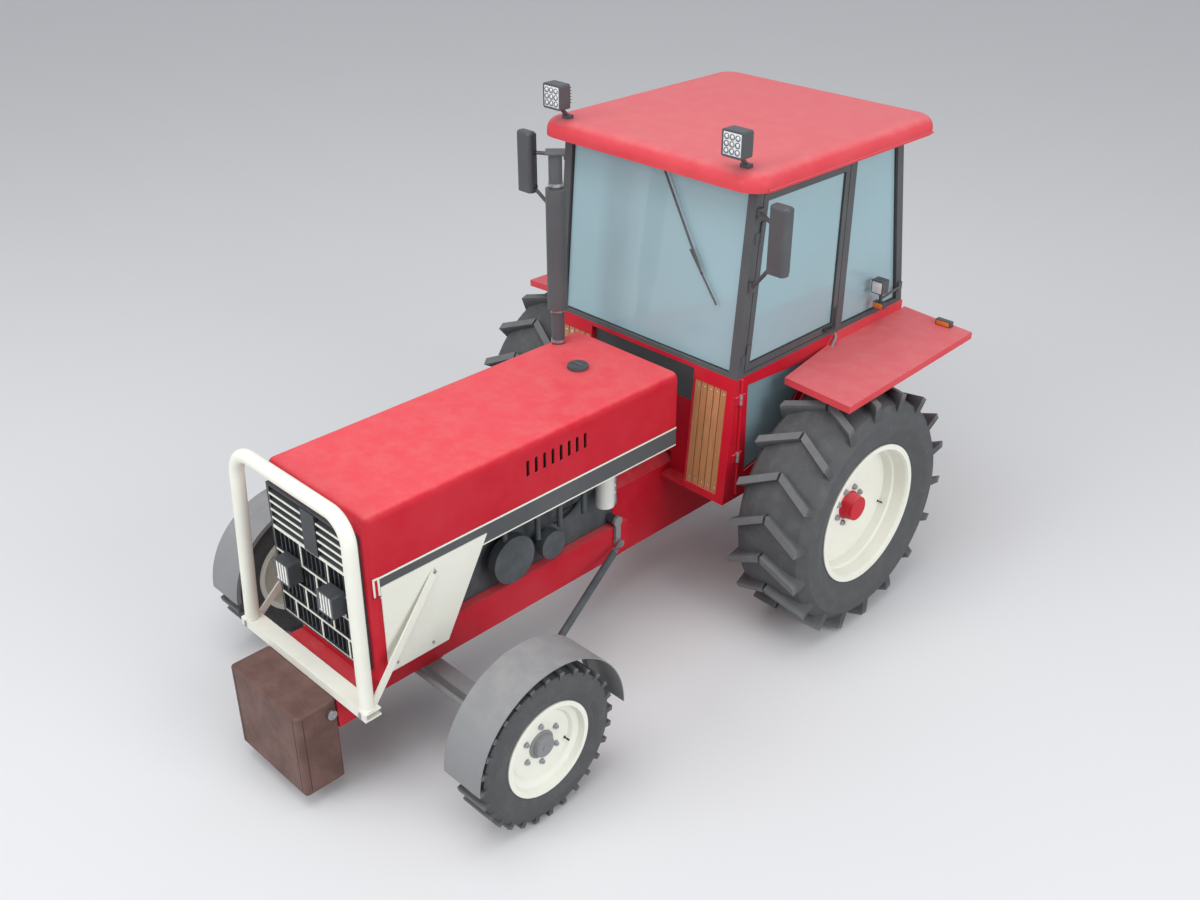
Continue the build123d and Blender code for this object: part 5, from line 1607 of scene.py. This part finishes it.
@dataclass
class Pad:
    """One swollen cushion, made by cloth simulation with sewn channels pressed in afterwards."""

    name: str
    node: str
    looks: Looks
    channels: tuple[float, ...]
    upright: bool
    inset: float = 0.017
    round_by: float = 0.026
    cap: float = 0.024
    voxel: float = 0.0055
    pressure: float = 4.0
    frames: int = 20
    channel_width: float = 0.0075
    channel_depth: float = 0.008
    seam_width: float = 0.006
    seam_depth: float = 0.0035
    seam_rise: float = 0.012
    seam_clear: float = 0.012
    fill: float = 0.85

    def build(self) -> None:
        """Make the cushion in the space of its solid."""
        low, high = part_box(self.node)
        edge = Vector((self.inset, self.inset, self.inset))
        start = low + edge
        if not self.upright:
            start.z = low.z + 0.002
        shape = Shape()
        shape.box(start, high - edge, self.round_by, 5)
        piece = shape.finish(self.name, self.looks.vinyl, ROOT, "vinyl", Edge.ROUND)
        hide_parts(self.node)
        even = piece.modifiers.new("even", "REMESH")
        even.mode = "VOXEL"
        even.voxel_size = self.voxel
        self.apply(piece)
        self.swell(piece, low, high)
        self.press(piece)
        smooth = piece.modifiers.new("smooth", "SUBSURF")
        smooth.levels = 1
        smooth.render_levels = 1
        self.apply(piece)
        for face in piece.data.polygons:
            face.use_smooth = True

    def apply(self, piece: bpy.types.Object) -> None:
        """Apply every modifier of the piece."""
        shaped = bpy.data.meshes.new_from_object(piece.evaluated_get(bpy.context.evaluated_depsgraph_get()))
        piece.modifiers.clear()
        piece.data = shaped

    def swell(self, piece: bpy.types.Object, low: Vector, high: Vector) -> None:
        """Blow the cushion up with its resting face held, and cap how far it moves.

        Args:
            piece: The cushion.
            low: The lowest corner of its solid.
            high: The highest corner of its solid.
        """
        start = [corner.co.copy() for corner in piece.data.vertices]
        held = piece.vertex_groups.new(name="held")
        corners = piece.data.vertices
        if self.upright:
            back = high.y - self.inset - 0.004
            resting = [corner.index for corner in corners if corner.co.y > back]
        else:
            resting = [corner.index for corner in corners if corner.co.z < low.z + 0.006]
        held.add(resting, 1.0, "REPLACE")
        cloth = piece.modifiers.new("cloth", "CLOTH")
        cloth.settings.vertex_group_mass = "held"
        cloth.settings.use_pressure = True
        cloth.settings.uniform_pressure_force = self.pressure
        cloth.settings.effector_weights.gravity = 0.0
        cloth.point_cache.frame_start = 1
        cloth.point_cache.frame_end = self.frames
        scene = bpy.context.scene
        for step in range(1, self.frames + 1):
            scene.frame_set(step)
        swollen = piece.evaluated_get(bpy.context.evaluated_depsgraph_get()).data
        places = [corner.co.copy() for corner in swollen.vertices]
        piece.modifiers.clear()
        piece.vertex_groups.clear()
        for corner, first, last in zip(piece.data.vertices, start, places):
            move = last - first
            if move.length > self.cap:
                move *= self.cap / move.length
            corner.co = first + move
        scene.frame_set(1)

    def press(self, piece: bpy.types.Object) -> None:
        """Press the sewn channels and the side seam into the skin."""
        low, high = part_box(self.node)
        middle = (low + high) / 2
        seam = middle.y if self.upright else middle.z + self.seam_rise
        for corner in piece.data.vertices:
            place = corner.co
            self.sink_channels(place, seam)
            across = (place.y if self.upright else place.z) - seam
            near = math.exp(-(across / self.seam_width) ** 2) * self.seam_depth
            pull = Vector((0, middle.y, middle.z)) - place
            if self.upright:
                pull.y = 0
            else:
                pull.z = 0
            if near > 1e-5 and pull.length > 0.1:
                place += pull.normalized() * near

    def sink_channels(self, place: Vector, seam: float) -> None:
        """Sink one point of the skin where it lies in a sewn channel.

        Args:
            place: The point, which is moved.
            seam: Where the side seam runs.
        """
        front = place.y < seam - self.seam_clear if self.upright else place.z > seam + self.seam_clear
        for line in self.channels:
            away = (place.x - line) / self.channel_width
            if front and abs(away) < 3:
                sink = self.channel_depth * math.exp(-away * away)
                if self.upright:
                    place.y += sink
                else:
                    place.z -= sink


@dataclass
class CabInside:
    """The seat's two cushions."""

    looks: Looks
    seat_channels: tuple[float, ...] = (-0.105, -0.035, 0.035, 0.105)
    back_channels: tuple[float, ...] = (-0.1, -0.033, 0.033, 0.1)

    def build(self) -> None:
        """Make the seat cushion and the seat back."""
        Pad("seat_cushion_pad", "seat_cushion", self.looks, self.seat_channels, False).build()
        Pad("seat_back_pad", "seat_back", self.looks, self.back_channels, True).build()
        log.info("cab inside ready")


@dataclass
class RearEnd:
    """Hose couplings with their dust caps behind the gearbox, in metres."""

    looks: Looks
    count: int = 4
    first: Point = (-0.105, 1.4925, 0.93)
    pitch: float = 0.07
    coupling: Outline = (
        (0, 0), (0, 0.02), (0.006, 0.02), (0.008, 0.015), (0.04, 0.015), (0.042, 0.018), (0.052, 0.018),
        (0.054, 0.016), (0.054, 0),
    )
    dust_cap: Outline = ((0.054, 0), (0.054, 0.017), (0.07, 0.0165), (0.073, 0.013), (0.073, 0))

    def build(self) -> None:
        """Make the couplings and their caps."""
        couplings = Shape()
        caps = Shape()
        for step in range(self.count):
            at = Vector(self.first) + Vector((step * self.pitch, 0, 0))
            couplings.lathe(self.coupling, at, -FORWARD, 24)
            caps.lathe(self.dust_cap, at, -FORWARD, 24)
        couplings.finish("hose_couplings", self.looks.bright, ROOT, "steel_bright", Edge.CRISP)
        caps.finish("coupling_caps", self.looks.red_lens, ROOT, "paint_red", Edge.CRISP)
        log.info("rear end ready")


def main() -> None:
    """Build the studio, dress the frame and add every fitting in order."""
    logging.basicConfig(level=logging.INFO, format="%(name)s: %(message)s")
    looks = Looks()
    Studio().build()
    Bodywork(looks).build()
    for maker in (
        Wheels, HoodTrim, FrontEnd, DragLink, EngineBay, CabTrim, Lamps, MirrorTrim, CabInside, RearEnd,
    ):
        maker(looks).build()


if __name__ == "__main__":
    main()
